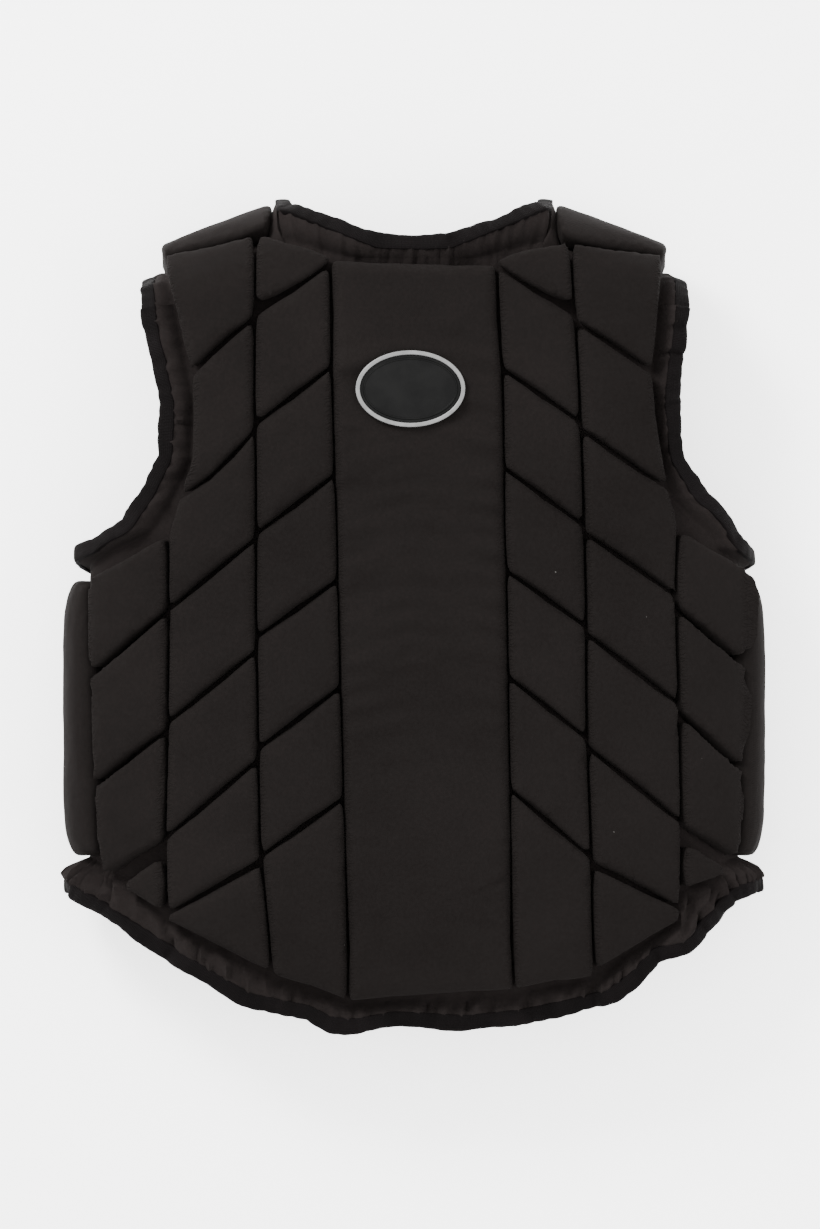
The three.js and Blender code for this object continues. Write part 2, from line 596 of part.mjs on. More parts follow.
// Closure strip between the two halves of the front.
function addZip() {
  const half = NECKLINE_ROWS[0][1] * HALF_WIDTH - GAP
  const low = ZIP_LOW * LENGTH
  const high = ZIP_HIGH * LENGTH
  const level = FRONT_FLAT * -1 + CLOTH_DEPTH + CLOTH / 2
  const shape = new THREE.Shape()
  shape.moveTo(-half, -CLOTH / 2)
  shape.lineTo(-half / 2, -ZIP_THICK / 2)
  shape.lineTo(half / 2, -ZIP_THICK / 2)
  shape.lineTo(half, -CLOTH / 2)
  shape.lineTo(half, CLOTH / 2)
  shape.lineTo(half / 2, ZIP_THICK / 2)
  shape.lineTo(-half / 2, ZIP_THICK / 2)
  shape.lineTo(-half, CLOTH / 2)
  const geometry = new THREE.ExtrudeGeometry(shape, { depth: high - low, bevelEnabled: false })
  geometry.rotateX(Math.PI / 2)
  geometry.translate(0, high, level)
  const mesh = new THREE.Mesh(geometry, zip())
  mesh.name = 'front_zip'
  protector.add(mesh)
}
addZip()

// Oval badge on the spine pad: a dark plate with a raised pale rim round it.
function ovalShape(halfLength, halfHeight, hole) {
  const shape = new THREE.Shape()
  shape.absellipse(0, 0, halfLength, halfHeight, 0, Math.PI * 2)
  if (hole) {
    const opening = new THREE.Path()
    opening.absellipse(0, 0, hole[0], hole[1], 0, Math.PI * 2, true)
    shape.holes.push(opening)
  }
  return shape
}

function addBadge() {
  const centre = [BADGE_PLACE.x * HALF_WIDTH, BADGE_PLACE.y * LENGTH]
  const seat = FRONT_DROP + BACK_RISE + GAP
  const inside = [BADGE_HALF_LENGTH - BADGE_RIM, BADGE_HALF_HEIGHT - BADGE_RIM]
  const parts = [
    { name: 'badge_plate', shape: ovalShape(inside[0] - GAP, inside[1] - GAP), thick: BADGE_THICK, look: rubber() },
    { name: 'badge_rim', shape: ovalShape(BADGE_HALF_LENGTH, BADGE_HALF_HEIGHT, inside),
      thick: BADGE_THICK + BADGE_RIM_RISE, look: rim() },
  ]
  for (const { name, shape, thick, look } of parts) {
    const geometry = new THREE.ExtrudeGeometry(shape, { depth: thick, bevelEnabled: false, curveSegments: 14 })
    geometry.translate(centre[0], centre[1], seat)
    const mesh = new THREE.Mesh(geometry, look)
    mesh.name = name
    protector.add(mesh)
  }
}
addBadge()

// Middle of the outline on the origin, lowest faces on the ground.
const outline = new THREE.Box3().setFromObject(protector)
const middle = outline.getCenter(new THREE.Vector3())
for (const mesh of protector.children) mesh.geometry.translate(-middle.x, -middle.y, -outline.min.z)

export default protector
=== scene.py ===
import math

import bpy
import numpy as np
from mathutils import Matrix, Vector, noise


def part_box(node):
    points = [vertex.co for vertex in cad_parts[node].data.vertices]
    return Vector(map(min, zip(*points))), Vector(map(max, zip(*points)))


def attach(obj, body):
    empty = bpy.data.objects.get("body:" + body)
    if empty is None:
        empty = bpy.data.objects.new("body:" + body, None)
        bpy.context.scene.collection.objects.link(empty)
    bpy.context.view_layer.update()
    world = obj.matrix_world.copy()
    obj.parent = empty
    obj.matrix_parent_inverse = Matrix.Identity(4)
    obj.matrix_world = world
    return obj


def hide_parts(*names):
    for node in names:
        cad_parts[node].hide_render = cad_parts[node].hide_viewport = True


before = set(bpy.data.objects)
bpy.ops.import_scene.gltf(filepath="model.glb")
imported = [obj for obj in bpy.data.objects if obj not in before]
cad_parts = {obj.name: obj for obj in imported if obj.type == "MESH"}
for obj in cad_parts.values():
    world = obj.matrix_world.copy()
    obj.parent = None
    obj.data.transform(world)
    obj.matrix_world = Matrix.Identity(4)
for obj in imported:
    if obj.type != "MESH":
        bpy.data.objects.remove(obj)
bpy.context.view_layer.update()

# Sizes of the vest, mm, the same as the solids'.
HALF_WIDTH = 247
LENGTH = 589
BACK_RISE = 54
FRONT_DROP = 46
FRONT_FLAT = 3
SHOULDER_TURN = 45
FOAM = 18
CLOTH = 2.4
CLOTH_SPACE = 0.85
TURN_SPACE = 0.5
HEM_LIFT = 6
SIDE_LIFT = 16
BADGE_HALF_LENGTH = 38.3
BADGE_HALF_HEIGHT = 26.8

# Powers that round its section.
BACK_ROUND = 2.6
FRONT_ROUND = 4
SIDE_EASE = 3

# Heights as shares of the length, and places across as shares of the half width.
ARMPIT = 0.545
SHOULDER_TOP = 0.999
SHOULDER_SLOPE = 0.16
NECK_HALF = 0.36
NECK_LOW = 0.936
NECK_FLAT = 0.1
NECK_SLOPE = 0.17
ARM_TOP = 0.758
FRONT_NECK = 0.8
FRONT_HEM = 0.15
BADGE_X = -0.01
BADGE_Y = 0.7676

# Steps across are shares up to ROUNDING and then turn by ROUNDING_RATE degrees; seams in degrees.
ROUNDING = 0.9
ROUNDING_RATE = 80
SIDE_SEAM = 118
SIDE_SEAM_GAP = 0.5
SHOULDER_SEAM = 89.2

# Lifts and edges of the cloth in the looks, mm.
NECK_LIFT = 8
NECK_CORNER_LIFT = 13
HEM_FLARE = 3
ARM_RAISE = 9.5
TUCK = 2.5
BAND_WIDTH = 9.5
BAND_THICK = 4.2

# Shares in the looks: spread of the neck's corners, where it begins, where the shoulder pads begin.
NECK_SPREAD = 0.03
NECK_SPREAD_START = 0.2
PAD_START = 0.416
LOW_LEVEL = 0.24

HEM = np.array([
    [-1, 0.186], [-0.873, 0.150], [-0.788, 0.129], [-0.643, 0.093], [-0.465, 0.050],
    [-0.297, 0.036], [-0.235, 0.022], [-0.17, 0.020], [-0.054, 0.029], [0.147, 0.024],
    [0.306, 0.031], [0.462, 0.045], [0.555, 0.055], [0.620, 0.075], [0.688, 0.105],
    [0.779, 0.112], [0.873, 0.150], [0.929, 0.175], [1, 0.190]])

# Lowest edge of the blocks over the width.
BLOCK_FOOT = np.array([
    [-1, 0.213], [-0.9, 0.198], [-0.84, 0.18], [-0.79, 0.160], [-0.711, 0.138], [-0.7, 0.135],
    [-0.394, 0.070], [-0.187, 0.039], [0.28, 0.050], [0.516, 0.070], [0.759, 0.135],
    [0.767, 0.167], [0.868, 0.190], [0.93, 0.206], [1, 0.213]])

# Armhole: height, left and right edge on the back, edge on the front.
ARMHOLE = np.array([
    [0.575, 0.960, 0.985, 0.900], [0.600, 0.810, 0.920, 0.820], [0.640, 0.745, 0.800, 0.720],
    [0.684, 0.690, 0.735, 0.670], [0.750, 0.682, 0.716, 0.650], [0.790, 0.703, 0.724, 0.660],
    [0.835, 0.728, 0.742, 0.690], [0.910, 0.756, 0.758, 0.740], [0.940, 0.758, 0.758, 0.758]])

RISE = np.array([[0, 0.62], [0.1, 0.8], [0.25, 0.94], [0.42, 1], [0.88, 1], [1, 0.97]])
NECKLINE = np.array([[0.8, 0.032], [0.806, 0.15], [0.825, 0.25], [0.86, 0.32], [0.91, 0.35]])


def table(rows, column, at):
    return np.interp(at, rows[:, 0], rows[:, column])


# Lengthwise seams: height, then the share of the half width where each crosses it.
SEAM_NAMES = ["height", "side_left", "outer_left", "middle_left", "inner_left",
              "inner_right", "middle_right", "outer_right", "side_right"]
SEAMS = np.array([
    [0.036, -0.856, -0.697, -0.394, -0.187, 0.286, 0.516, 0.759, 0.912],
    [0.137, -0.867, -0.704, -0.416, -0.190, 0.278, 0.508, 0.761, 0.929],
    [0.232, -0.912, -0.711, -0.438, -0.195, 0.275, 0.503, 0.766, 0.942],
    [0.374, -0.931, -0.703, -0.443, -0.204, 0.268, 0.490, 0.759, 0.950],
    [0.517, -0.939, -0.700, -0.449, -0.214, 0.263, 0.489, 0.748, 0.952],
    [0.612, -0.941, -0.703, -0.448, -0.218, 0.256, 0.483, 0.754, 0.952],
    [0.671, -0.941, -0.635, -0.449, -0.224, 0.255, 0.479, 0.717, 0.952],
    [0.772, -0.941, -0.629, -0.453, -0.232, 0.252, 0.469, 0.680, 0.952],
    [0.932, -0.941, -0.722, -0.450, -0.238, 0.232, 0.445, 0.714, 0.952],
    [0.963, -0.941, -0.739, -0.449, -0.241, 0.229, 0.433, 0.720, 0.952]])

# Columns of blocks: seams beside them, cells across, and heights of their clefts at the two seams.
COLUMNS = {
    "inner_pad_left": ("middle_left", "inner_left", 2, [
        [0.070, 0.039], [0.213, 0.281], [0.341, 0.413], [0.473, 0.540],
        [0.596, 0.665], [0.726, 0.793], [0.856, 0.916], [0.963, 0.926]]),
    "middle_pad_left": ("outer_left", "middle_left", 3, [
        [0.135, 0.070], [0.154, 0.201], [0.234, 0.327], [0.372, 0.456],
        [0.506, 0.589], [0.637, 0.717], [0.785, 0.852], [0.933, 0.956]]),
    "outer_pad_left": ("side_left", "outer_left", 4, [
        [0.198, 0.229], [0.296, 0.362], [0.426, 0.504], [0.545, 0.597]]),
    "inner_pad_right": ("inner_right", "middle_right", 2, [
        [0.052, 0.068], [0.291, 0.211], [0.425, 0.353], [0.551, 0.486],
        [0.673, 0.606], [0.791, 0.729], [0.913, 0.856], [0.924, 0.955]]),
    "middle_pad_right": ("middle_right", "outer_right", 3, [
        [0.072, 0.135], [0.200, 0.164], [0.341, 0.253], [0.476, 0.394],
        [0.596, 0.523], [0.719, 0.650], [0.847, 0.787], [0.945, 0.936]]),
    "outer_pad_right": ("outer_right", "side_right", 4, [
        [0.245, 0.206], [0.382, 0.315], [0.506, 0.441], [0.603, 0.560]]),
}
SEAM = 1.4
CLEFT = 4.6
CLEFT_END = 1.4


def block_cells():
    """Seams, low and high cleft, and grid cells of every block of the back."""
    cells = {
        "spine_pad": ("inner_left", "inner_right", [0.038, 0.052], [0.922, 0.916], 14, 4),
        "corner_pad_left": (-0.79, "outer_left", [0.160, 0.138], [0.180, 0.224], 2, 2),
        "corner_pad_right": ("outer_right", 0.868, [0.167, 0.190], [0.236, 0.208], 2, 2)}
    for name, (left, right, across, clefts) in COLUMNS.items():
        for number in range(len(clefts) - 1):
            rows = 7 if number == len(clefts) - 2 else 3
            cells[f"{name}_{number + 1}"] = (left, right, clefts[number], clefts[number + 1], rows, across)
    return cells


def seam_at(side, height):
    if isinstance(side, float):
        return np.full(np.shape(height), side)
    return table(SEAMS, SEAM_NAMES.index(side), height)


def turn_start(share):
    return SHOULDER_TOP - SHOULDER_SLOPE * np.maximum(0, share - NECK_HALF) - SHOULDER_TURN / LENGTH


def bend_at(share, height):
    reach = (height - turn_start(share)) * LENGTH / SHOULDER_TURN
    return np.degrees(np.arcsin(np.clip(reach, 0, 1)))


def body_place(across, height, depth, bend=None):
    """Points on the vest, mm: across 0 to 1 from the middle of the back to the side and 2 at the front."""
    across, height, depth = np.broadcast_arrays(*[np.asarray(v, float) for v in (across, height, depth)])
    on_front = np.abs(across) > 1
    share = np.where(on_front, 2 - np.abs(across), np.abs(across))
    if bend is None:
        bend = np.where(on_front, 0.0, bend_at(share, height))
    bend = np.broadcast_to(bend, across.shape)
    facing = np.where(on_front, -1.0, np.cos(np.radians(bend)))
    power = np.where(facing >= 0, BACK_ROUND, FRONT_ROUND)
    level = np.maximum(0, 1 - share ** power) ** (1 / power)
    reach = np.where(facing >= 0, BACK_RISE * table(RISE, 1, height), FRONT_DROP + FRONT_FLAT)
    turning = (bend > 0) & (bend < 180)
    along = np.where(turning, turn_start(share), height) * LENGTH
    x = np.sign(across) * (HALF_WIDTH - depth * share ** SIDE_EASE) * share
    y = along + (SHOULDER_TURN - depth) * np.sin(np.radians(bend))
    z = np.maximum(0, FRONT_DROP + (reach - depth) * level * facing)
    return np.stack([x, y, z], axis=-1)


def depth_under(over, up, reach):
    """Depth of places that lie over mm past the turn's start and up mm above the middle plane."""
    low, high = np.full(len(over), -8.0), np.full(len(over), 30.0)
    for _ in range(22):
        depth = (low + high) / 2
        outside = (over / (SHOULDER_TURN - depth)) ** 2 + (up / (reach - depth)) ** 2 > 1
        low, high = np.where(outside, low, depth), np.where(outside, depth, high)
    return depth


def turn_read(points):
    """Across, depth and bend, in degrees, of points over the turn of the shoulder given in mm."""
    x, y, z = points.T
    share = np.abs(x) / HALF_WIDTH
    depth = np.zeros(len(x))
    behind = z >= FRONT_DROP
    power = np.where(behind, BACK_ROUND, FRONT_ROUND)
    reach = np.where(behind, BACK_RISE * table(RISE, 1, SHOULDER_TOP), FRONT_DROP + FRONT_FLAT)
    for _ in range(8):
        share = np.clip(np.abs(x) / (HALF_WIDTH - depth * share ** SIDE_EASE), 0, 0.99)
        over = np.maximum(0, y - turn_start(share) * LENGTH)
        up = (z - FRONT_DROP) / (1 - share ** power) ** (1 / power)
        depth = depth_under(over, up, reach)
    bend = np.degrees(np.arctan2(over / (SHOULDER_TURN - depth), up / (reach - depth)))
    return np.sign(x) * share, depth, bend


def body_read(points):
    """Across, height and depth of points of the back given in mm: body_place the other way round."""
    x, y, z = points.T
    share = np.abs(x) / HALF_WIDTH
    depth = np.zeros(len(x))
    for _ in range(8):
        share = np.clip(np.abs(x) / (HALF_WIDTH - depth * share ** SIDE_EASE), 0, 0.99)
        start = turn_start(share) * LENGTH
        level = (1 - share ** BACK_ROUND) ** (1 / BACK_ROUND)
        over = np.maximum(0, y - start)
        up = np.maximum(0, (z - FRONT_DROP) / level)
        reach = BACK_RISE * table(RISE, 1, np.clip(y / LENGTH, 0, 1))
        depth = depth_under(over, up, reach)
    bent = (start + SHOULDER_TURN * over / (SHOULDER_TURN - depth)) / LENGTH
    return np.sign(x) * share, np.where(over > 0, bent, y / LENGTH), depth


# The solids' middle is on the origin; the badge says by how much they were moved.
badge_low, badge_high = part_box("badge_plate")
SHIFT = np.array([0.0, (badge_low[1] + badge_high[1]) / 2 * 1000 - BADGE_Y * LENGTH, 0.0])


def metres(points):
    return (points + SHIFT) / 1000


def round_turn(turn):
    sine = np.abs(np.sin(np.radians(turn)))
    return np.where(turn <= 90, sine ** (2 / BACK_ROUND), 2 - sine ** (2 / FRONT_ROUND))


BACK_TURN = math.degrees(math.asin(ROUNDING ** (BACK_ROUND / 2)))
FRONT_TURN = 180 - math.degrees(math.asin(ROUNDING ** (FRONT_ROUND / 2)))


def even_back(step):
    return np.where(step <= ROUNDING, step, round_turn(BACK_TURN + (step - ROUNDING) * ROUNDING_RATE))


def even_front(step):
    return np.where(step <= ROUNDING, 2 - step, round_turn(FRONT_TURN - (step - ROUNDING) * ROUNDING_RATE))


BACK_SIDE = ROUNDING + (SIDE_SEAM - BACK_TURN) / ROUNDING_RATE
FRONT_SIDE = ROUNDING + (FRONT_TURN - SIDE_SEAM - SIDE_SEAM_GAP) / ROUNDING_RATE


def arm_edge(height, right):
    """Edge of the back's cloth at an armhole, tucked into its tape."""
    first = ARMHOLE[0, 0]
    at_first = np.where(right, ARMHOLE[0, 2], ARMHOLE[0, 1])
    share = np.clip((height - ARMPIT) / (first - ARMPIT), 0, 1)
    above = np.where(right, table(ARMHOLE, 2, height), table(ARMHOLE, 1, height))
    edge = np.where(height >= first, above, BACK_SIDE + (at_first - BACK_SIDE) * share)
    return np.minimum(BACK_SIDE, edge + TUCK / HALF_WIDTH)


# Cloth beside the armholes: above this height its width is measured, between the two widths, mm.
MARGIN_START = 0.605
NARROW_MARGIN = 5
WIDE_MARGIN = 17
ARM_REACH = 0.8


def arm_margin(height, right):
    """Width in mm of the cloth between the blocks and its edge at an armhole."""
    beside = np.where(right, seam_at("outer_right", height), -seam_at("outer_left", height))
    width = np.clip((arm_edge(height, right) - beside) * HALF_WIDTH, NARROW_MARGIN, WIDE_MARGIN)
    return np.where(height > MARGIN_START, width, WIDE_MARGIN)


def arm_lift(from_edge, reach):
    """How far the cloth stands off the body beside an armhole, mm."""
    return ARM_RAISE * (1 - np.clip(from_edge / reach, 0, 1) ** 1.5)


def front_arm_edge(height):
    """Edge of a front's cloth at an armhole, tucked into its tape."""
    first = ARMHOLE[0, 0]
    share = np.clip((height - ARMPIT) / (first - ARMPIT), 0, 1)
    low = FRONT_SIDE + (ARMHOLE[0, 3] - FRONT_SIDE) * share
    edge = np.where(height >= first, table(ARMHOLE, 3, height), low)
    return np.minimum(FRONT_SIDE, edge + TUCK / HALF_WIDTH)


def back_step(column, edge, towards_top):
    """Step across of a column, -1 to 1; towards the top its middle meets the neck's corner."""
    count = np.abs(column)
    corner = edge * 0.5 + (NECK_HALF - edge * 0.5) * towards_top
    return np.where(count <= 0.5, corner * count * 2, corner + (edge - corner) * (count - 0.5) * 2)


def spread_neck(share, flare):
    """Draws the corner of the neck outwards."""
    near_corner = np.interp(share, [NECK_SPREAD_START, NECK_HALF, PAD_START], [0, 1, 0])
    return share + NECK_SPREAD * flare * near_corner


def front_hem(share, side):
    at_side = HEM[-1, 1] if side > 0 else HEM[0, 1]
    return FRONT_HEM + (at_side - FRONT_HEM) * np.clip((share - 0.3) / 0.6, 0, 1)


def slow_wave(at, seed):
    """Uneven wave between about -1 and 1 along a length in mm."""
    return (0.5 * np.sin(at / 9.5 + seed) + 0.35 * np.sin(at / 5.3 + 2.1 * seed + 1)
            + 0.25 * np.sin(at / 14.7 + 3.3 * seed + 2))


def pucker(at, seed):
    """Narrow gathers along a length in mm, sharper in their valleys."""
    phase = at / 1.75 + 1.7 * np.sin(at / 23 + seed) + 1.1 * np.sin(at / 9.1 + 2 * seed)
    swell = 0.65 + 0.35 * np.sin(at / 31 + 1.3 * seed)
    return (np.abs(np.sin(phase / 2)) * 2 - 1) * swell


def pleat(along, seed, pitch=13.0):
    """Pleats pressed one way, -0.5 to 0.5, along a length in mm."""
    phase = along / pitch + 0.35 * np.sin(along / 41 + seed) + 0.2 * np.sin(along / 17 + 2 * seed)
    part = phase - np.floor(phase)
    return np.where(part < 0.86, part / 0.86, (1 - part) / 0.14) - 0.5


def folds(along, into, seed, along_scale=7.0, into_scale=26.0):
    """Crumpled folds, about -1 to 1, that run away from an edge: mm along it and mm in from it."""
    along, into = np.broadcast_arrays(along, into)
    values = np.empty(along.size)
    for number, (a, b) in enumerate(zip(along.ravel(), into.ravel())):
        spot = Vector((a / along_scale, b / into_scale, seed))
        bent = a / 19 + 1.5 * noise.noise(Vector((a / 31, b / 17, seed + 5)))
        sharp = 1 - 2.6 * abs(noise.noise(spot))
        broad = noise.noise(Vector((bent, b / 24, seed + 9)))
        values[number] = 0.8 * sharp + 1.1 * broad
    return np.clip(values.reshape(along.shape), -1.2, 1.2)


def lay_grid(name, rows, columns, points):
    """A grid primitive whose vertices are laid onto the body, row by row."""
    bpy.ops.object.select_all(action="DESELECT")
    bpy.ops.mesh.primitive_grid_add(x_subdivisions=columns, y_subdivisions=rows, size=1)
    piece = bpy.context.object
    piece.name = name
    count = len(piece.data.vertices)
    if count != (rows + 1) * (columns + 1):
        raise RuntimeError(f"{name}: grid of {count} vertices")
    flat = np.empty(count * 3)
    piece.data.vertices.foreach_get("co", flat)
    flat = flat.reshape(-1, 3)
    order = np.lexsort((np.round(flat[:, 0], 5), np.round(flat[:, 1], 5)))
    placed = np.empty_like(flat)
    placed[order] = points.reshape(-1, 3)
    piece.data.vertices.foreach_set("co", placed.reshape(-1))
    piece.data.update()
    return piece, order


def set_uv(piece, order, along, across):
    """UV in metres, along and across the cloth, from values on the grid's vertices."""
    count = len(piece.data.vertices)
    value = np.empty((count, 2))
    value[order, 0] = along.reshape(-1)
    value[order, 1] = across.reshape(-1)
    loops = np.empty(len(piece.data.loops), dtype=np.int32)
    piece.data.loops.foreach_get("vertex_index", loops)
    piece.data.uv_layers.active.data.foreach_set("uv", value[loops].reshape(-1))


def active_only(piece):
    bpy.ops.object.select_all(action="DESELECT")
    piece.select_set(True)
    bpy.context.view_layer.objects.active = piece


def thicken(piece, thickness):
    active_only(piece)
    solid = piece.modifiers.new("thickness", "SOLIDIFY")
    solid.thickness = thickness
    solid.offset = -1
    bpy.ops.object.modifier_apply(modifier=solid.name)


def smooth_all(piece, angle=60):
    active_only(piece)
    bpy.ops.object.shade_smooth_by_angle(angle=math.radians(angle))


def face_out(piece, rows_point_out):
    """Turns the grid's faces when they point into the body."""
    if rows_point_out:
        return
    active_only(piece)
    bpy.ops.object.mode_set(mode="EDIT")
    bpy.ops.mesh.select_all(action="SELECT")
    bpy.ops.mesh.flip_normals()
    bpy.ops.object.mode_set(mode="OBJECT")


# Cloth of the back: its columns from left to right, and its rows from the hem to the shoulders.
CLOTH_DEPTH = FOAM + CLOTH_SPACE
BACK_COLUMNS = 260
COLUMN_PLACES = np.linspace(-1, 1, BACK_COLUMNS + 1)
ON_RIGHT = COLUMN_PLACES > 0
SIDE_SIGN = np.where(ON_RIGHT, 1.0, -1.0)
HEM_SHARES = np.concatenate([np.linspace(0, 0.5, 22), np.linspace(0.56, 1, 8)])
LEVELS = np.concatenate([np.linspace(0.26, 0.53, 16), np.linspace(ARMPIT, 0.87, 62)])
BENDS = np.linspace(0.04, 1, 12)

# Half of the hem's way round the body, in half widths, and of the neck's edge, mm.
HEM_AROUND = 1.62
NECK_AROUND = 260

# How far crumples and pleats stand out at the hem, mm, and a bunch of cloth there: place and reach as shares.
CRUMPLE = 3.4
SIDE_CRUMPLE = 2.6
HEM_PLEAT = 4.6
BUNCH, BUNCH_PLACE, BUNCH_REACH = 4.5, 0.735, 0.045

# Waves beside the armholes and at the neck, mm: how far they stand out, their folds and their pleats.
ARM_WAVE, ARM_FOLD, ARM_PLEAT, ARM_PITCH = 0.6, 3.2, 2.4, 11
NECK_WAVE, NECK_FOLD, NECK_PLEAT = 0.8, 1.9, 1.8
TURN_FOLD = 1.4


def beside_pad(share):
    """1 at the neck, falling to 0 where the shoulder's pad begins."""
    return np.sqrt(np.clip((PAD_START - share) / 0.03, 0, 1))


def back_hem_rows(depth):
    """Rows of the back's cloth from the hem to the low level, flared and crumpled under the blocks."""
    step = back_step(COLUMN_PLACES, BACK_SIDE, 0)
    across = SIDE_SIGN * even_back(step)
    around = COLUMN_PLACES * (HALF_WIDTH * HEM_AROUND)
    on_front = np.abs(across) > 1
    share_across = np.where(on_front, 2 - np.abs(across), np.abs(across))
    low_front = np.where(ON_RIGHT, front_hem(share_across, 1), front_hem(share_across, -1))
    hem = np.where(on_front, low_front, table(HEM, 1, np.clip(across, -1, 1))) - TUCK / LENGTH
    to_side = np.clip((step - 0.75) / 0.35, 0, 1)
    lift = HEM_LIFT + HEM_FLARE + (SIDE_LIFT - HEM_LIFT - HEM_FLARE) * to_side
    foot = table(BLOCK_FOOT, 1, np.clip(across, -1, 1))
    amount = CRUMPLE + SIDE_CRUMPLE * np.clip((np.abs(across) - 0.35) / 0.3, 0, 1)
    bunch = BUNCH * np.exp(-((across - BUNCH_PLACE) / BUNCH_REACH) ** 2)
    rows = []
    for share in HEM_SHARES:
        height = hem + (LOW_LEVEL - hem) * share
        inside = (height - hem) * LENGTH
        free = np.clip(((foot - height) * LENGTH - 1) / 7, 0, 1)
        reach = np.maximum(7, (foot - hem) * LENGTH - 2)
        raised = lift * (1 - np.clip(inside / reach, 0, 1) ** 1.4)
        crumple = amount * folds(around, inside, 0.4) + HEM_PLEAT * pleat(around + 0.25 * inside, 1.7)
        shift = free * (crumple + bunch) * (1 - 0.5 * np.clip(1 - inside / 4, 0, 1))
        rows.append(body_place(across, height, depth - raised - shift))
    return rows


def back_level_rows(depth):
    """Rows of the back's cloth from the low level to the shoulders, lifted beside the armholes."""
    rows = []
    for level in LEVELS:
        towards_top = np.clip((level - 0.69) / 0.14, 0, 1)
        edge = arm_edge(level, ON_RIGHT)
        step = back_step(COLUMN_PLACES, edge, towards_top)
        from_edge = (edge - step) * HALF_WIDTH
        reach = ARM_REACH * arm_margin(level, ON_RIGHT)
        above = np.clip((level - ARMPIT + 0.01) / 0.03, 0, 1) * (level > ARMPIT)
        near = np.exp(-(from_edge / reach) ** 4) * above
        raised = arm_lift(from_edge, reach) * above
        run = level * LENGTH * 1.1 + 500 * SIDE_SIGN
        waves = ARM_WAVE + ARM_FOLD * folds(run, from_edge, 1.9) + ARM_PLEAT * pleat(run, 0.6, ARM_PITCH)
        rows.append(body_place(SIDE_SIGN * even_back(step), level, depth - raised - near * waves))
    return rows


def back_turn_rows(depth):
    """Rows of the back's cloth over the turn, up to the neck's edge and the shoulders' seams."""
    nominal = back_step(COLUMN_PLACES, arm_edge(NECK_LOW, ON_RIGHT), 1)
    is_neck = nominal < NECK_HALF - 0.001
    neck_height = NECK_LOW + NECK_SLOPE * np.maximum(0, nominal - NECK_FLAT) + TUCK / LENGTH
    end = np.where(is_neck, bend_at(nominal, neck_height), SHOULDER_SEAM)
    flap = NECK_LIFT + NECK_CORNER_LIFT * (nominal / NECK_HALF) ** 1.6
    neck_run = COLUMN_PLACES * NECK_AROUND
    rows = []
    for order in BENDS:
        bend = end * order
        height = turn_start(nominal) + SHOULDER_TURN / LENGTH * np.sin(np.radians(bend))
        edge = arm_edge(height, ON_RIGHT)
        share = spread_neck(back_step(COLUMN_PLACES, edge, 1), np.clip((bend - 10) / 35, 0, 1))
        from_neck = (end - bend) / 90 * 60
        at_neck = np.clip(1.6 - from_neck / 16, 0, 1) * is_neck
        corner = (NECK_LIFT + NECK_CORNER_LIFT) * beside_pad(share) * np.clip((bend - 20) / 45, 0, 1)
        raised = np.where(is_neck, flap * np.clip(1 - from_neck / 14, 0, 1), corner)
        from_edge = (edge - share) * HALF_WIDTH
        reach = ARM_REACH * arm_margin(height, ON_RIGHT)
        raised = raised + arm_lift(from_edge, reach) * np.clip(1 - bend / 75, 0, 1)
        near = np.exp(-(from_edge / 9) ** 4)
        waves = NECK_WAVE + NECK_FOLD * folds(neck_run, from_neck, 3.1) + NECK_PLEAT * pleat(neck_run, 2.9)
        arm_waves = NECK_WAVE + TURN_FOLD * folds(bend * 0.9 + 400 * SIDE_SIGN, from_edge, 4.4)
        shift = at_neck * waves + near * arm_waves * (1 - at_neck)
        spot = depth - raised - shift + TURN_SPACE
        rows.append(body_place(SIDE_SIGN * share, turn_start(share), spot, bend))
    return rows


def back_cloth_points(depth):
    """Rows of points of the back's cloth, mm, from the hem to the neck and the shoulders."""
    return np.stack(back_hem_rows(depth) + back_level_rows(depth) + back_turn_rows(depth))


# Cloth of the fronts.
FRONT_COLUMNS = 60
FRONT_HEM_SHARES = np.concatenate([np.linspace(0, 0.4, 9), np.linspace(0.5, 1, 5)])
FRONT_LEVELS = np.concatenate([np.linspace(0.26, 0.53, 12), np.linspace(ARMPIT, 0.86, 46)])


def front_cloth_points(side, depth):
    """Rows of points of a front's cloth, mm, from the hem to the shoulder's seam."""
    columns = np.linspace(0, 1, FRONT_COLUMNS + 1)
    rows = []
    step = NECKLINE[0, 1] + (FRONT_SIDE - NECKLINE[0, 1]) * columns
    across = even_front(step)
    hem = front_hem(2 - across, side) - TUCK / LENGTH
    to_side = np.clip((step - 0.6) / 0.3, 0, 1)
    for share in FRONT_HEM_SHARES:
        height = hem + (LOW_LEVEL - hem) * share
        inside = (height - hem) * LENGTH
        raised = SIDE_LIFT * to_side * (1 - np.clip(inside / 15, 0, 1) ** 1.4)
        rows.append(body_place(side * across, height, depth - raised))
    for level in FRONT_LEVELS:
        inside = table(NECKLINE, 1, level)
        step = inside + (front_arm_edge(level) - inside) * columns
        rows.append(body_place(side * even_front(step), level, depth))
    for bend in np.linspace(180, 180 - SHOULDER_SEAM, 12):
        nominal = NECK_HALF + (ARM_TOP - NECK_HALF) * columns
        height = turn_start(nominal) + SHOULDER_TURN / LENGTH * np.sin(np.radians(bend))
        turned = min(1, (180 - bend) / 60)
        width = spread_neck(NECK_HALF + (front_arm_edge(height) - NECK_HALF) * columns, turned)
        flap = NECK_LIFT + NECK_CORNER_LIFT * min(1, (180 - bend) / 85) ** 2
        raised = flap * turned * beside_pad(width)
        rows.append(body_place(side * width, turn_start(width), depth - raised, bend))
    return np.stack(rows)


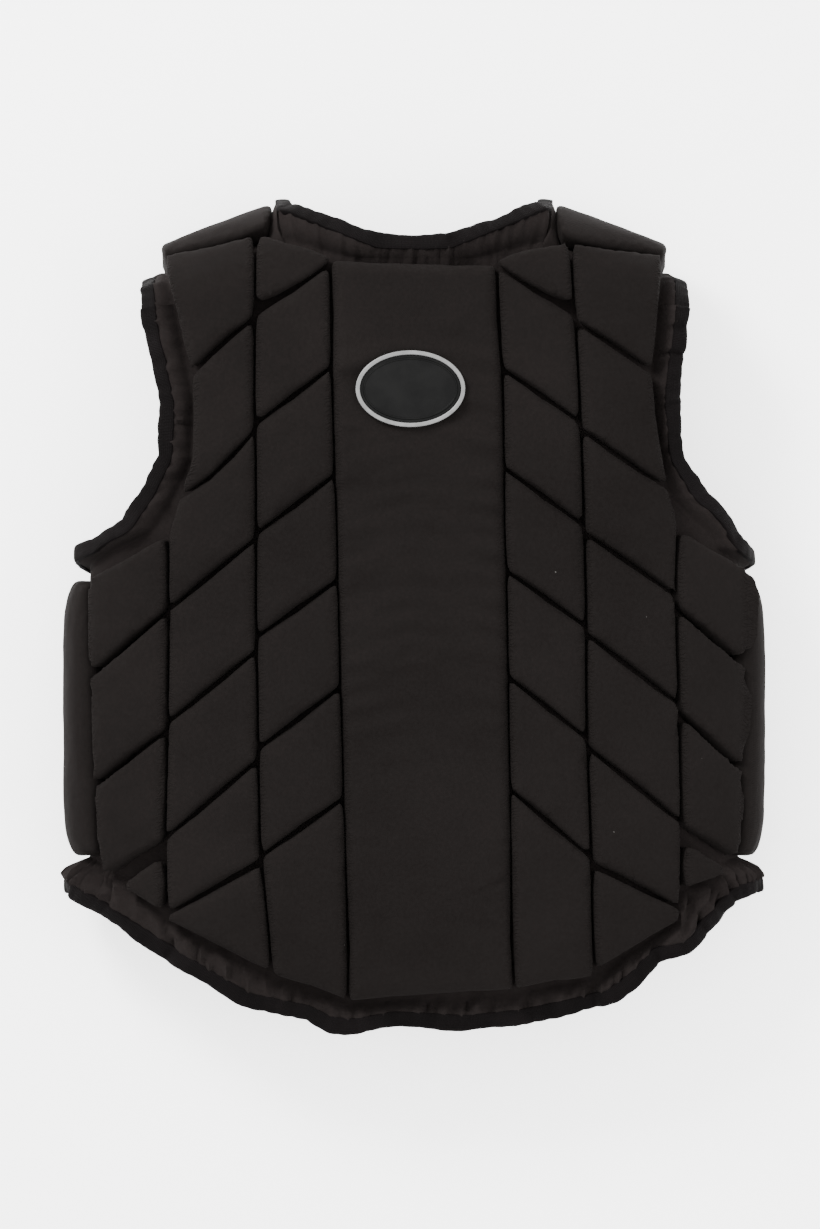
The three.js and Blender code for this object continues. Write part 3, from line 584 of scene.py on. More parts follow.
def lengths(points, axis):
    """Running length in metres along one axis of a grid of points in mm."""
    steps = np.linalg.norm(np.diff(points, axis=axis), axis=-1) / 1000
    total = np.cumsum(steps, axis=axis)
    pad = [(0, 0), (0, 0)]
    pad[axis] = (1, 0)
    return np.pad(total, pad)


def make_back_cloth():
    points = back_cloth_points(CLOTH_DEPTH)
    rows, columns = points.shape[0] - 1, points.shape[1] - 1
    piece, order = lay_grid("back_cloth", rows, columns, metres(points))
    set_uv(piece, order, lengths(points, 1), lengths(points, 0))
    thicken(piece, CLOTH / 1000)
    smooth_all(piece)
    return piece, points


def make_front_cloth(name, side):
    points = front_cloth_points(side, CLOTH_DEPTH)
    rows, columns = points.shape[0] - 1, points.shape[1] - 1
    piece, order = lay_grid(name, rows, columns, metres(points))
    set_uv(piece, order, lengths(points, 1), lengths(points, 0))
    face_out(piece, side < 0)
    thicken(piece, CLOTH / 1000)
    smooth_all(piece)
    return piece, points


# Folded tape with rounded edges, as shares of its width and thickness; steps along it in mm.
TAPE_SHAPE = [
    (-0.16, 0.30), (-0.1, 0.44), (0.05, 0.5), (0.3, 0.5),
    (0.6, 0.46), (0.82, 0.38), (0.95, 0.22), (1.0, 0.0)]
TAPE_STEP = 2.2
LEAST_STEP = 0.5


def unit(vectors):
    return vectors / np.linalg.norm(vectors, axis=1, keepdims=True)


def closed_ring(values):
    return np.concatenate([values, values[:1]])


def tape_route(outer, inner, hand, closed):
    """Places along a tape's middle with the directions out of the cloth's edge and square to it."""
    middle = (outer + inner) / 2
    if closed:
        keep = np.linalg.norm(middle - np.roll(middle, 1, axis=0), axis=1) > LEAST_STEP
    else:
        steps = np.linalg.norm(np.diff(middle, axis=0), axis=1)
        keep = np.concatenate([[True], steps > LEAST_STEP])
    middle, up = middle[keep], unit((outer - inner)[keep])
    if closed:
        middle, up = closed_ring(middle), closed_ring(up)
    along = np.concatenate([[0], np.cumsum(np.linalg.norm(np.diff(middle, axis=0), axis=1))])
    at = np.linspace(0, along[-1], int(along[-1] / TAPE_STEP) + 1)
    centre = np.stack([np.interp(at, along, middle[:, k]) for k in range(3)], axis=1)
    lifted = np.stack([np.interp(at, along, up[:, k]) for k in range(3)], axis=1)
    centre = soften(centre, closed, 3)
    lifted = unit(soften(lifted, closed, 6))
    if closed:
        ahead = closed_ring(np.roll(centre[:-1], -3, axis=0) - np.roll(centre[:-1], 3, axis=0))
    else:
        ahead = soften(np.gradient(centre, axis=0), False, 4)
    ahead = unit(ahead)
    out = unit(np.cross(ahead, lifted) * hand)
    return at, centre, out, np.cross(out, ahead) * hand


def make_tape(name, outer, inner, hand, closed, seed):
    """outer and inner are the cloth's edge on its two faces, point by point, mm."""
    at, centre, out, square = tape_route(outer, inner, hand, closed)
    shape = TAPE_SHAPE + [(a, -b) for a, b in reversed(TAPE_SHAPE[:-1])]
    shape = shape + [shape[0]]
    wave = 1.3 * slow_wave(at * 1.1, seed) + 0.45 * pucker(at * 1.4, seed)
    stray = 1.1 * slow_wave(at * 0.8, seed + 4) + 0.35 * pucker(at * 0.9, seed + 2)
    if closed:
        blend = np.clip(np.minimum(at, at[-1] - at) / 30, 0, 1)
        wave = wave * blend
        stray = stray * blend
    rows = []
    for share, height in shape:
        bulge = 0.4 * pucker(at * 1.1, seed + share) * (1 if abs(height) > 0.25 else 0)
        if closed:
            bulge = bulge * blend
        sideways = share * BAND_WIDTH + stray * max(0.0, share)
        lift = height * BAND_THICK + np.sign(height) * bulge + wave * max(0.0, share)
        rows.append(centre + out * sideways[:, None] + square * lift[:, None])
    points = np.stack(rows, axis=1)
    piece, order = lay_grid(name, points.shape[0] - 1, points.shape[1] - 1, metres(points))
    across = np.broadcast_to(np.array([s[0] * BAND_WIDTH / 1000 for s in shape]), points.shape[:2])
    set_uv(piece, order, np.broadcast_to(at[:, None] / 1000, points.shape[:2]), across)
    active_only(piece)
    bpy.ops.object.mode_set(mode="EDIT")
    bpy.ops.mesh.select_all(action="SELECT")
    bpy.ops.mesh.remove_doubles(threshold=0.00001)
    if not closed:
        bpy.ops.mesh.select_all(action="DESELECT")
        bpy.ops.mesh.select_non_manifold()
        bpy.ops.mesh.edge_face_add()
    bpy.ops.mesh.select_all(action="SELECT")
    bpy.ops.mesh.normals_make_consistent(inside=False)
    bpy.ops.object.mode_set(mode="OBJECT")
    smooth_all(piece, 70)
    return piece


def soften(values, closed, times):
    for _ in range(times):
        if closed:
            ring = values[:-1]
            ring = (np.roll(ring, 1, axis=0) + 2 * ring + np.roll(ring, -1, axis=0)) / 4
            values = np.concatenate([ring, ring[:1]])
        else:
            inner = (values[:-2] + 2 * values[1:-1] + values[2:]) / 4
            values = np.concatenate([values[:1], inner, values[-1:]])
    return values


back_cloth, back_out = make_back_cloth()
back_in = back_cloth_points(CLOTH_DEPTH + CLOTH)
front_cloths = {}
for side, word in ((-1, "left"), (1, "right")):
    piece, out_points = make_front_cloth(f"front_cloth_{word}", side)
    front_cloths[word] = (piece, out_points, front_cloth_points(side, CLOTH_DEPTH + CLOTH))

FIRST_ARM_ROW = len(HEM_SHARES) + int(np.searchsorted(LEVELS, ARMPIT - 0.001))
FIRST_FRONT_ARM_ROW = len(FRONT_HEM_SHARES) + int(np.searchsorted(FRONT_LEVELS, ARMPIT - 0.001))


def armhole_tape(word, column, hand):
    front_out, front_in = front_cloths[word][1:]
    outer = np.concatenate([back_out[FIRST_ARM_ROW:, column], front_out[FIRST_FRONT_ARM_ROW + 1:, -1][::-1]])
    inner = np.concatenate([back_in[FIRST_ARM_ROW:, column], front_in[FIRST_FRONT_ARM_ROW + 1:, -1][::-1]])
    return make_tape(f"armhole_tape_{word}", outer, inner, hand, True, 1.0 + column)


armhole_left = armhole_tape("left", 0, -1)
armhole_right = armhole_tape("right", -1, 1)

def edge_line(left, back, right):
    """An edge from the left front over the back to the right front."""
    return np.concatenate([left, back, right[::-1]])


left_out, left_in = front_cloths["left"][1:]
right_out, right_in = front_cloths["right"][1:]
neck_row = len(FRONT_HEM_SHARES) + int(np.searchsorted(FRONT_LEVELS, FRONT_NECK))
neck_columns = slice(BACK_COLUMNS // 4, -(BACK_COLUMNS // 4))
neck_outer = edge_line(left_out[neck_row:, 0], back_out[-1, neck_columns], right_out[neck_row:, 0])
neck_inner = edge_line(left_in[neck_row:, 0], back_in[-1, neck_columns], right_in[neck_row:, 0])
neck_tape = make_tape("neck_tape", neck_outer, neck_inner, -1, False, 0.3)
hem_outer = edge_line(left_out[0], back_out[0], right_out[0])
hem_inner = edge_line(left_in[0], back_in[0], right_in[0])
hem_tape = make_tape("hem_tape", hem_outer, hem_inner, 1, False, 2.4)


# Foam blocks in their covers.
BLOCK_NODES = sorted(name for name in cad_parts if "_pad" in name)
REMESH = 0.0025
SWELL_FRAMES = 10
SHRINK = 0.0004
SWELL_CAP = 0.0009


def copy_node(node_name, name):
    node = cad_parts[node_name]
    mesh = node.data.copy()
    mesh.transform(node.matrix_world)
    piece = bpy.data.objects.new(name, mesh)
    bpy.context.collection.objects.link(piece)
    mesh.materials.clear()
    active_only(piece)
    bpy.ops.object.mode_set(mode="EDIT")
    bpy.ops.mesh.select_all(action="SELECT")
    bpy.ops.mesh.remove_doubles(threshold=0.00002)
    bpy.ops.transform.shrink_fatten(value=-SHRINK)
    bpy.ops.object.mode_set(mode="OBJECT")
    return piece


def remesh_block(piece):
    active_only(piece)
    remesh = piece.modifiers.new("remesh", "REMESH")
    remesh.mode = "VOXEL"
    remesh.voxel_size = REMESH
    bpy.ops.object.modifier_apply(modifier=remesh.name)


def mesh_arrays(piece):
    mesh = piece.data
    points = np.empty(len(mesh.vertices) * 3)
    mesh.vertices.foreach_get("co", points)
    faces = [tuple(p.vertices) for p in mesh.polygons]
    return points.reshape(-1, 3), faces


# Where the shoulders begin to turn in the scene, m along Y.
SHOULDERS_START = 0.245


def outward_of(points):
    """Rough outward direction of the body at points in metres."""
    x = points[:, 0] / (HALF_WIDTH / 1000)
    z = (points[:, 2] - FRONT_DROP / 1000) / (BACK_RISE / 1000)
    y = np.clip((points[:, 1] - SHOULDERS_START) / (SHOULDER_TURN / 1000), 0, 1)
    direction = np.stack([np.sign(x) * np.abs(x) ** 5, y * 1.2, z], axis=1)
    return direction / np.maximum(1e-6, np.linalg.norm(direction, axis=1, keepdims=True))


def swell(blocks):
    """Cloth under pressure on all blocks at once, moved no further than the cap."""
    parts = [mesh_arrays(piece) for piece in blocks]
    starts = np.cumsum([0] + [len(p[0]) for p in parts])
    points = np.concatenate([p[0] for p in parts])
    faces = [tuple(i + start for i in face) for (_, part), start in zip(parts, starts) for face in part]
    mesh = bpy.data.meshes.new("swelling")
    mesh.from_pydata(points.tolist(), [], faces)
    mesh.update()
    normals = np.empty(len(points) * 3)
    mesh.vertices.foreach_get("normal", normals)
    normals = normals.reshape(-1, 3)
    holder = bpy.data.objects.new("swelling", mesh)
    bpy.context.collection.objects.link(holder)
    cloth = holder.modifiers.new("cloth", "CLOTH")
    cloth.settings.quality = 3
    cloth.settings.mass = 0.3
    cloth.settings.use_pressure = True
    cloth.settings.uniform_pressure_force = 4
    cloth.settings.effector_weights.gravity = 0
    cloth.settings.tension_stiffness = 12
    cloth.settings.compression_stiffness = 12
    cloth.settings.bending_stiffness = 0.4
    cloth.point_cache.frame_start = 1
    cloth.point_cache.frame_end = SWELL_FRAMES
    for number in range(1, SWELL_FRAMES + 1):
        bpy.context.scene.frame_set(number)
    evaluated = holder.evaluated_get(bpy.context.evaluated_depsgraph_get())
    moved = np.empty(len(points) * 3)
    evaluated.data.vertices.foreach_get("co", moved)
    move = moved.reshape(-1, 3) - points
    bpy.context.scene.frame_set(1)
    far = np.linalg.norm(move, axis=1, keepdims=True)
    move = move * np.minimum(1, SWELL_CAP / np.maximum(far, 1e-9))
    facing = np.sum(normals * outward_of(points), axis=1, keepdims=True)
    move = move * np.clip((facing + 0.75) / 0.9, 0, 1)
    points = points + move
    for piece, first, last in zip(blocks, starts[:-1], starts[1:]):
        piece.data.vertices.foreach_set("co", points[first:last].reshape(-1))
        piece.data.update()
    bpy.data.objects.remove(holder)


def noise_at(x, y, seed):
    """Smooth noise, about -0.5 to 0.5, over two arrays."""
    return np.array([noise.noise(Vector((a, b, seed))) for a, b in zip(x, y)])


# Crease across the low part of the spine, mm, and how deep it is at each point; depth of the wrinkles.
CREASE = np.array([[18, 92, 0.0], [32, 95.5, 0.5], [50, 101, 0.9], [63, 108, 1.1], [66, 114, 1.0]])
SPINE_WRINKLE = 3.6

# Seams and clefts in the looks, finer than the solids', and how far a block's corners are drawn out, mm.
FINE_SEAM = 1.0
FINE_CLEFT = 4.4
FINE_CLEFT_END = 0.9
FINE_CORNER = 4.2


def lens(u, end, middle):
    """Width of a cleft, mm, open in its middle and nearly closed at its ends."""
    return end + (middle - end) * np.sin(np.pi * np.clip(u, 0, 1))


def block_ends(u, low, high, end, middle):
    """Foot and top of a block at u across it, inside its clefts."""
    opening = lens(u, end, middle) / 2 / LENGTH
    return low[0] + (low[1] - low[0]) * u + opening, high[0] + (high[1] - high[0]) * u - opening


# Lowest blocks whose outlines are finer than their solids': seams, low and high cleft.
LOWEST = {
    "corner_pad_left": (-0.83, "outer_left", [0.172, 0.138], [0.183, 0.221]),
    "corner_pad_right": ("outer_right", 0.893, [0.165, 0.190], [0.236, 0.201]),
    "outer_pad_left_1": ("side_left", "outer_left", [0.187, 0.229], [0.296, 0.362]),
    "middle_pad_left_1": ("outer_left", "middle_left", [0.135, 0.070], [0.143, 0.207]),
    "middle_pad_left_2": ("outer_left", "middle_left", [0.143, 0.207], [0.234, 0.327]),
    "middle_pad_right_1": ("middle_right", "outer_right", [0.072, 0.135], [0.203, 0.150]),
    "middle_pad_right_2": ("middle_right", "outer_right", [0.203, 0.150], [0.341, 0.253])}


def shape_block(piece, cell, seed):
    """Sharper corners, narrow seams, clefts like lenses and slack fabric over one block of the back."""
    left, right, low, high, rows, columns = cell
    mesh = piece.data
    flat = np.empty(len(mesh.vertices) * 3)
    mesh.vertices.foreach_get("co", flat)
    across, height, depth = body_read(flat.reshape(-1, 3) * 1000 - SHIFT)
    first, last = seam_at(left, height), seam_at(right, height)
    margin = SEAM / 2 / HALF_WIDTH
    u = (across - first - margin) / (last - first - 2 * margin)
    foot, top = block_ends(u, low, high, CLEFT_END, CLEFT)
    v = (height - foot) / (top - foot)
    middle = sum(low + high) / 4
    wide = float(seam_at(right, middle) - seam_at(left, middle)) * HALF_WIDTH - SEAM
    tall = (sum(high) - sum(low)) / 2 * LENGTH - CLEFT
    near_side = np.clip(1 - np.minimum(u, 1 - u) * columns, 0, 1)
    pull = near_side * np.clip(1 - np.minimum(v, 1 - v) * rows, 0, 1)
    u = 0.5 + (u - 0.5) / (1 - 2 * FINE_CORNER / wide * pull)
    v = 0.5 + (v - 0.5) / (1 - 2 * FINE_CORNER / tall * pull)
    left, right, low, high = LOWEST.get(piece.name.replace("_block", "_pad"), (left, right, low, high))
    foot, top = block_ends(u, low, high, FINE_CLEFT_END, FINE_CLEFT)
    height = foot + (top - foot) * v
    margin = FINE_SEAM / 2 / HALF_WIDTH
    first, last = seam_at(left, height) + margin, seam_at(right, height) - margin
    across = first + (last - first) * u
    x, y = across * HALF_WIDTH, height * LENGTH
    from_seam = np.minimum(u, 1 - u) * wide
    from_cleft = np.minimum(v, 1 - v) * tall
    facing = np.clip(1 - depth / 6, 0, 1)
    drawn = np.exp(-(from_seam / 7) ** 2) * pucker(y * 1.2, seed) * 0.5
    slack = 0.9 * noise_at(x / 34, y / 26, seed) + 0.5 * noise_at(x / 17, y / 11, seed + 3)
    soft = 0.5 * np.exp(-(from_cleft / 9) ** 2) * noise_at(x / 9, y / 30, seed + 6)
    if piece.name == "spine_block":
        slack = slack + spine_wrinkles(x, y, u, height)
        slack = slack + crease_at(x, y)
    depth = depth + (drawn + slack + soft) * facing
    mesh.vertices.foreach_set("co", metres(body_place(across, height, depth)).reshape(-1))
    mesh.update()
    mark_cloth(mesh, np.stack([x, y], axis=1) / 1000, np.exp(-(from_seam / 3.2) ** 2) * facing)


def spine_wrinkles(x, y, u, height):
    """Wrinkles across the spine's fabric, mm, deeper towards its seams and fewer near its ends."""
    window = np.clip((height - 0.3) / 0.12, 0.15, 1) * np.clip((0.86 - height) / 0.1, 0, 1)
    to_seam = np.abs(2 * u - 1) ** 1.2
    return window * (0.45 + to_seam) * SPINE_WRINKLE * noise_at(x / 58, (y + 0.22 * np.abs(x)) / 12, 8.3)


def crease_at(x, y):
    line = np.interp(x, CREASE[:, 0], CREASE[:, 1])
    deep = np.interp(x, CREASE[:, 0], CREASE[:, 2], left=0, right=0)
    return deep * (np.exp(-((y - line) / 2.2) ** 2) - 0.5 * np.exp(-((y - line - 6) / 4) ** 2))


def mark_cloth(mesh, laid, seam):
    """Keeps the place on the cloth, m, and how near a seam is, for the fabric's looks."""
    layer = mesh.uv_layers.new(name="cloth")
    loops = np.empty(len(mesh.loops), dtype=np.int32)
    mesh.loops.foreach_get("vertex_index", loops)
    layer.data.foreach_set("uv", laid[loops].reshape(-1))
    near = mesh.attributes.new("seam", "FLOAT", "POINT")
    near.data.foreach_set("value", seam)


# Where the shoulder pads begin: share of the half width, then degrees of bend on the left and the right.
SHOULDER_FOOT = np.array([
    [0.41, 37, 27], [0.46, 39.5, 29.5], [0.50, 42, 34], [0.54, 44.8, 38.5],
    [0.58, 48, 43.5], [0.62, 50.8, 48.5], [0.66, 53.6, 53.2], [0.73, 57, 57]])

# The shoulder pads' solids: lower edge at the inner side and its slope, last bend in degrees, two sides.
SHOULDER_PAD_EDGE = 0.968
SHOULDER_PAD_SLOPE = 0.115
SHOULDER_PAD_END = 150
SHOULDER_PAD_INSIDE = 0.42
SHOULDER_PAD_OUTSIDE = 0.725

# In the looks they reach inwards by a share of the half width and puff out, mm.
SHOULDER_PAD_SPREAD = 0.016
SHOULDER_PAD_PUFF = 1.2


def close_shoulder(points, right):
    """Brings a shoulder pad up to the blocks of the back and rounds it."""
    across, depth, bend = turn_read(points - SHIFT)
    share = np.abs(across)
    solid_foot = SHOULDER_PAD_EDGE - SHOULDER_PAD_SLOPE * (share - SHOULDER_PAD_INSIDE) + CLEFT / LENGTH / 2
    old = bend_at(share, solid_foot)
    new = table(SHOULDER_FOOT, 2 if right else 1, share)
    run = (bend - old) / (SHOULDER_PAD_END - old)
    bend = new + (SHOULDER_PAD_END - new) * run
    u = np.clip((share - SHOULDER_PAD_INSIDE) / (SHOULDER_PAD_OUTSIDE - SHOULDER_PAD_INSIDE), 0, 1)
    share = share - SHOULDER_PAD_SPREAD * (1 - u) ** 3
    puff = np.sqrt(np.sin(np.pi * np.clip(run, 0, 1)) * np.sin(np.pi * u)) * np.clip(1 - depth / 9, 0, 1)
    depth = depth - SHOULDER_PAD_PUFF * puff
    return body_place(np.sign(across) * share, SHOULDER_TOP, depth, np.maximum(bend, 0.01)) + SHIFT


def shape_other(piece, seed):
    """Slack fabric on the pads of the sides, the shoulders and the front."""
    mesh = piece.data
    flat = np.empty(len(mesh.vertices) * 3)
    mesh.vertices.foreach_get("co", flat)
    points = flat.reshape(-1, 3) * 1000
    normals = np.empty(len(mesh.vertices) * 3)
    mesh.vertices.foreach_get("normal", normals)
    normals = normals.reshape(-1, 3)
    x, y, z = points.T
    facing = np.clip(np.sum(normals * outward_of(points / 1000), axis=1), 0, 1)
    slack = 0.5 * noise_at((x + z) / 40, y / 34, seed) + 0.25 * noise_at((x + z) / 12, y / 10, seed + 2)
    points = points + normals * (slack * facing)[:, None]
    if piece.name.startswith("side_block"):
        low, high = y.min(), y.max()
        end = (2 * y - low - high) / (high - low)
        points[:, 0] = points[:, 0] * (1 - 0.030 * np.abs(end) ** 9)
        points[:, 1] = points[:, 1] + 3 * np.sign(end) * end ** 4
    if piece.name.startswith("shoulder_block"):
        points = close_shoulder(points, piece.name.endswith("right"))
    points[:, 2] = np.maximum(points[:, 2], 0.05)
    mesh.vertices.foreach_set("co", (points / 1000).reshape(-1))
    mesh.update()
    mark_cloth(mesh, np.stack([x + z, y], axis=1) / 1000, np.zeros(len(x)))


blocks = []
for node_name in BLOCK_NODES:
    block = copy_node(node_name, node_name.replace("_pad", "_block"))
    remesh_block(block)
    blocks.append(block)
swell(blocks)
CELLS = block_cells()
SEED_STEP = 0.37
for number, block in enumerate(blocks):
    node_name = block.name.replace("_block", "_pad")
    if node_name in CELLS:
        shape_block(block, CELLS[node_name], SEED_STEP * number)
    else:
        shape_other(block, SEED_STEP * number)
    smooth_all(block, 80)


# Badge: bare rubber oval with a thin raised line inside a pale rim.
OVAL_SIDES = 96

# Steps inwards over the face and up or down with each, m: margin, raised line, and a slight dome.
FACE_INSETS = [
    (0.0016, 0), (0.0005, 0.0005), (0.0006, 0), (0.0005, -0.0005),
    (0.004, 0.0002), (0.008, 0.0002)]

# Width of the rim, thickness of the floor inside it, and softness of its edges, m.
RIM_WIDTH = 0.0029
RIM_FLOOR = 0.0002
RIM_SOFTNESS = 0.0006


def oval(name, half_length, half_height, height, thickness):
    """An oval slab at the badge's place, left in edit mode with its upper face selected."""
    bpy.ops.object.select_all(action="DESELECT")
    bpy.ops.mesh.primitive_circle_add(vertices=OVAL_SIDES, radius=1, fill_type="NGON")
    piece = bpy.context.object
    piece.name = name
    centre = metres(np.array([BADGE_X * HALF_WIDTH, BADGE_Y * LENGTH, 0]))
    bpy.ops.object.mode_set(mode="EDIT")
    bpy.ops.mesh.select_all(action="SELECT")
    bpy.ops.transform.resize(value=(half_length / 1000, half_height / 1000, 1))
    bpy.ops.transform.translate(value=(centre[0], centre[1], height))
    bpy.ops.mesh.extrude_region_move(TRANSFORM_OT_translate={"value": (0, 0, thickness)})
    return piece


def close_edit(piece):
    bpy.ops.mesh.select_all(action="SELECT")
    bpy.ops.mesh.normals_make_consistent(inside=False)
    bpy.ops.object.mode_set(mode="OBJECT")
    smooth_all(piece, 40)


def make_badge():
    low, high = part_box("badge_plate")
    rim_low, rim_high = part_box("badge_rim")
    inside_length = (high[0] - low[0]) / 2 * 1000
    inside_height = (high[1] - low[1]) / 2 * 1000
    plate = oval("badge_face", inside_length, inside_height, low[2], high[2] - low[2])
    for inwards, up in FACE_INSETS:
        bpy.ops.mesh.inset(thickness=inwards, depth=up)
    close_edit(plate)
    rim = oval("badge_edge", BADGE_HALF_LENGTH, BADGE_HALF_HEIGHT, rim_low[2], rim_high[2] - rim_low[2])
    bpy.ops.mesh.inset(thickness=RIM_WIDTH, depth=0)
    sink = rim_low[2] - rim_high[2] + RIM_FLOOR
    bpy.ops.mesh.extrude_region_move(TRANSFORM_OT_translate={"value": (0, 0, sink)})
    close_edit(rim)
    soften_edges(rim, RIM_SOFTNESS)
    return plate, rim


def soften_edges(piece, width):
    active_only(piece)
    bevel = piece.modifiers.new("soft edges", "BEVEL")
    bevel.width = width
    bevel.segments = 3
    bevel.limit_method = "ANGLE"
    bevel.angle_limit = math.radians(40)
    bpy.ops.object.modifier_apply(modifier=bevel.name)
    smooth_all(piece, 40)


badge_face, badge_edge = make_badge()


# Materials.
def new_material(name, colour, roughness):
    material = bpy.data.materials.new(name)
    material.use_nodes = True
    shader = material.node_tree.nodes["Principled BSDF"]
    shader.inputs["Base Color"].default_value = (*colour, 1)
    shader.inputs["Roughness"].default_value = roughness
    return material, material.node_tree, shader


def mottle(tree, vector, scale, detail=3, roughness=0.55):
    node = tree.nodes.new("ShaderNodeTexNoise")
    node.inputs["Scale"].default_value = scale
    node.inputs["Detail"].default_value = detail
    node.inputs["Roughness"].default_value = roughness
    tree.links.new(vector, node.inputs["Vector"])
    return node.outputs["Fac"]


def calculate(tree, kind, first, second=None, third=None):
    node = tree.nodes.new("ShaderNodeMath")
    node.operation = kind
    for socket, value in zip(node.inputs, (first, second, third)):
        if value is None:
            continue
        if isinstance(value, (int, float)):
            socket.default_value = value
        else:
            tree.links.new(value, socket)
    return node.outputs[0]


def ramp(tree, value, low, high, low_colour, high_colour):
    node = tree.nodes.new("ShaderNodeValToRGB")
    node.color_ramp.elements[0].position = low
    node.color_ramp.elements[1].position = high
    node.color_ramp.elements[0].color = (*low_colour, 1)
    node.color_ramp.elements[1].color = (*high_colour, 1)
    tree.links.new(value, node.inputs["Fac"])
    return node.outputs["Color"]


def bump(tree, shader, height, strength, distance, under=None):
    node = tree.nodes.new("ShaderNodeBump")
    node.inputs["Strength"].default_value = strength
    node.inputs["Distance"].default_value = distance
    tree.links.new(height, node.inputs["Height"])
    if under is not None:
        tree.links.new(under, node.inputs["Normal"])
    tree.links.new(node.outputs["Normal"], shader.inputs["Normal"])
    return node.outputs["Normal"]


def ribbing(tree, value, pitch):
    """Ridges at an even pitch, m, along a value in metres."""
    return calculate(tree, "SINE", calculate(tree, "MULTIPLY", value, 2 * math.pi / pitch))


def split_place(tree, vector):
    node = tree.nodes.new("ShaderNodeSeparateXYZ")
    tree.links.new(vector, node.inputs[0])
    return node.outputs


def weave_height(tree, coordinates, thread):
    """Plain weave of threads that cross, leaning with height so that walls are woven too."""
    x, y, z = split_place(tree, coordinates)
    lean = calculate(tree, "MULTIPLY", z, 0.8)
    warp = ribbing(tree, calculate(tree, "ADD", x, lean), 2 * thread)
    weft = ribbing(tree, calculate(tree, "SUBTRACT", y, lean), 2 * thread)
    crossing = calculate(tree, "MULTIPLY", calculate(tree, "MULTIPLY", warp, weft), 0.5)
    ridges = calculate(tree, "ADD", calculate(tree, "ABSOLUTE", warp), calculate(tree, "ABSOLUTE", weft))
    return calculate(tree, "ADD", crossing, calculate(tree, "MULTIPLY", ridges, 0.35))


# Threads, ribs, stitches and zip coils, and the gathers drawn in at a seam, m.
FABRIC_THREAD = 0.0006
ZIP_THREAD = 0.0008
TAPE_RIB = 0.0011
TAPE_CROSS_RIB = 0.0016
STITCH_STEP = 0.0032
STITCH_PLACE = 0.0014
STITCH_HALF_WIDTH = 0.0004
ZIP_COIL = 0.0022
ZIP_HALF_WIDTH = 0.0028
SEAM_GATHER = 0.0028

# Colours, each from dark to pale, and the lint, the sheen and the gloss of the cloth and the tape. The
# cloth's colours are the blocks' fabric painted paler: painted light against the shade between the blocks'
# walls and the tape.
BLOCK_BLACK = (0.0036, 0.0029, 0.0027), (0.0065, 0.0054, 0.0051)
CLOTH_BLACK_PAINTED_LIGHTER = (0.0062, 0.0049, 0.0047), (0.0108, 0.0088, 0.0084)
TAPE_BLACK = (0.0019, 0.0015, 0.0015), (0.0038, 0.0030, 0.0031)
RUBBER_BLACK = (0.0015, 0.0015, 0.0015), (0.003, 0.003, 0.0029)
ZIP_BLACK = (0.008, 0.008, 0.008), (0.016, 0.0155, 0.015)
RIM_GREY = (0.085, 0.085, 0.084), (0.14, 0.14, 0.138)
LINT_COLOUR = (0.06, 0.058, 0.055, 1)
SHEEN_TINT = (0.5, 0.44, 0.42, 1)
CLOTH_GLOSS = 0.03
BLOCK_SHEEN, CLOTH_SHEEN, TAPE_SHEEN = 0.015, 0.025, 0.008


def dull_sheen(shader, weight, roughness):
    """Faint sheen of dull black thread."""
    shader.inputs["Specular IOR Level"].default_value = CLOTH_GLOSS
    shader.inputs["Sheen Weight"].default_value = weight
    shader.inputs["Sheen Roughness"].default_value = roughness
    shader.inputs["Sheen Tint"].default_value = SHEEN_TINT


def woven_black(name, colours, sheen):
    """Woven fabric with lint, gathers drawn in at its seams and a plain weave."""
    material, tree, shader = new_material(name, colours[0], 0.85)
    place = tree.nodes.new("ShaderNodeTexCoord")
    solid = place.outputs["Object"]
    broad = mottle(tree, solid, 9, 4)
    fine = mottle(tree, solid, 420, 2, 0.7)
    both = calculate(tree, "MULTIPLY_ADD", fine, 0.45, calculate(tree, "MULTIPLY", broad, 0.55))
    tint = ramp(tree, both, 0.3, 0.72, *colours)
    lint = calculate(tree, "GREATER_THAN", mottle(tree, solid, 260, 1), 0.845)
    speckled = tree.nodes.new("ShaderNodeMixRGB")
    speckled.inputs["Color2"].default_value = LINT_COLOUR
    tree.links.new(lint, speckled.inputs["Fac"])
    tree.links.new(tint, speckled.inputs["Color1"])
    tree.links.new(speckled.outputs["Color"], shader.inputs["Base Color"])
    rough = calculate(tree, "MULTIPLY_ADD", broad, 0.14, 0.76)
    tree.links.new(rough, shader.inputs["Roughness"])
    dull_sheen(shader, sheen, 0.45)
    slack = bump(tree, shader, mottle(tree, solid, 55, 4, 0.6), 0.35, 0.0012)
    near = tree.nodes.new("ShaderNodeAttribute")
    near.attribute_name = "seam"
    along_seam = split_place(tree, place.outputs["UV"])[1]
    wander = calculate(tree, "MULTIPLY", mottle(tree, solid, 150, 2), 24)
    turns = calculate(tree, "MULTIPLY_ADD", along_seam, 2 * math.pi / SEAM_GATHER, wander)
    drawn = calculate(tree, "MULTIPLY", calculate(tree, "SINE", turns), near.outputs["Fac"])
    slack = bump(tree, shader, drawn, 0.7, 0.0008, slack)
    bump(tree, shader, weave_height(tree, place.outputs["UV"], FABRIC_THREAD), 0.55, 0.00022, slack)
    return material


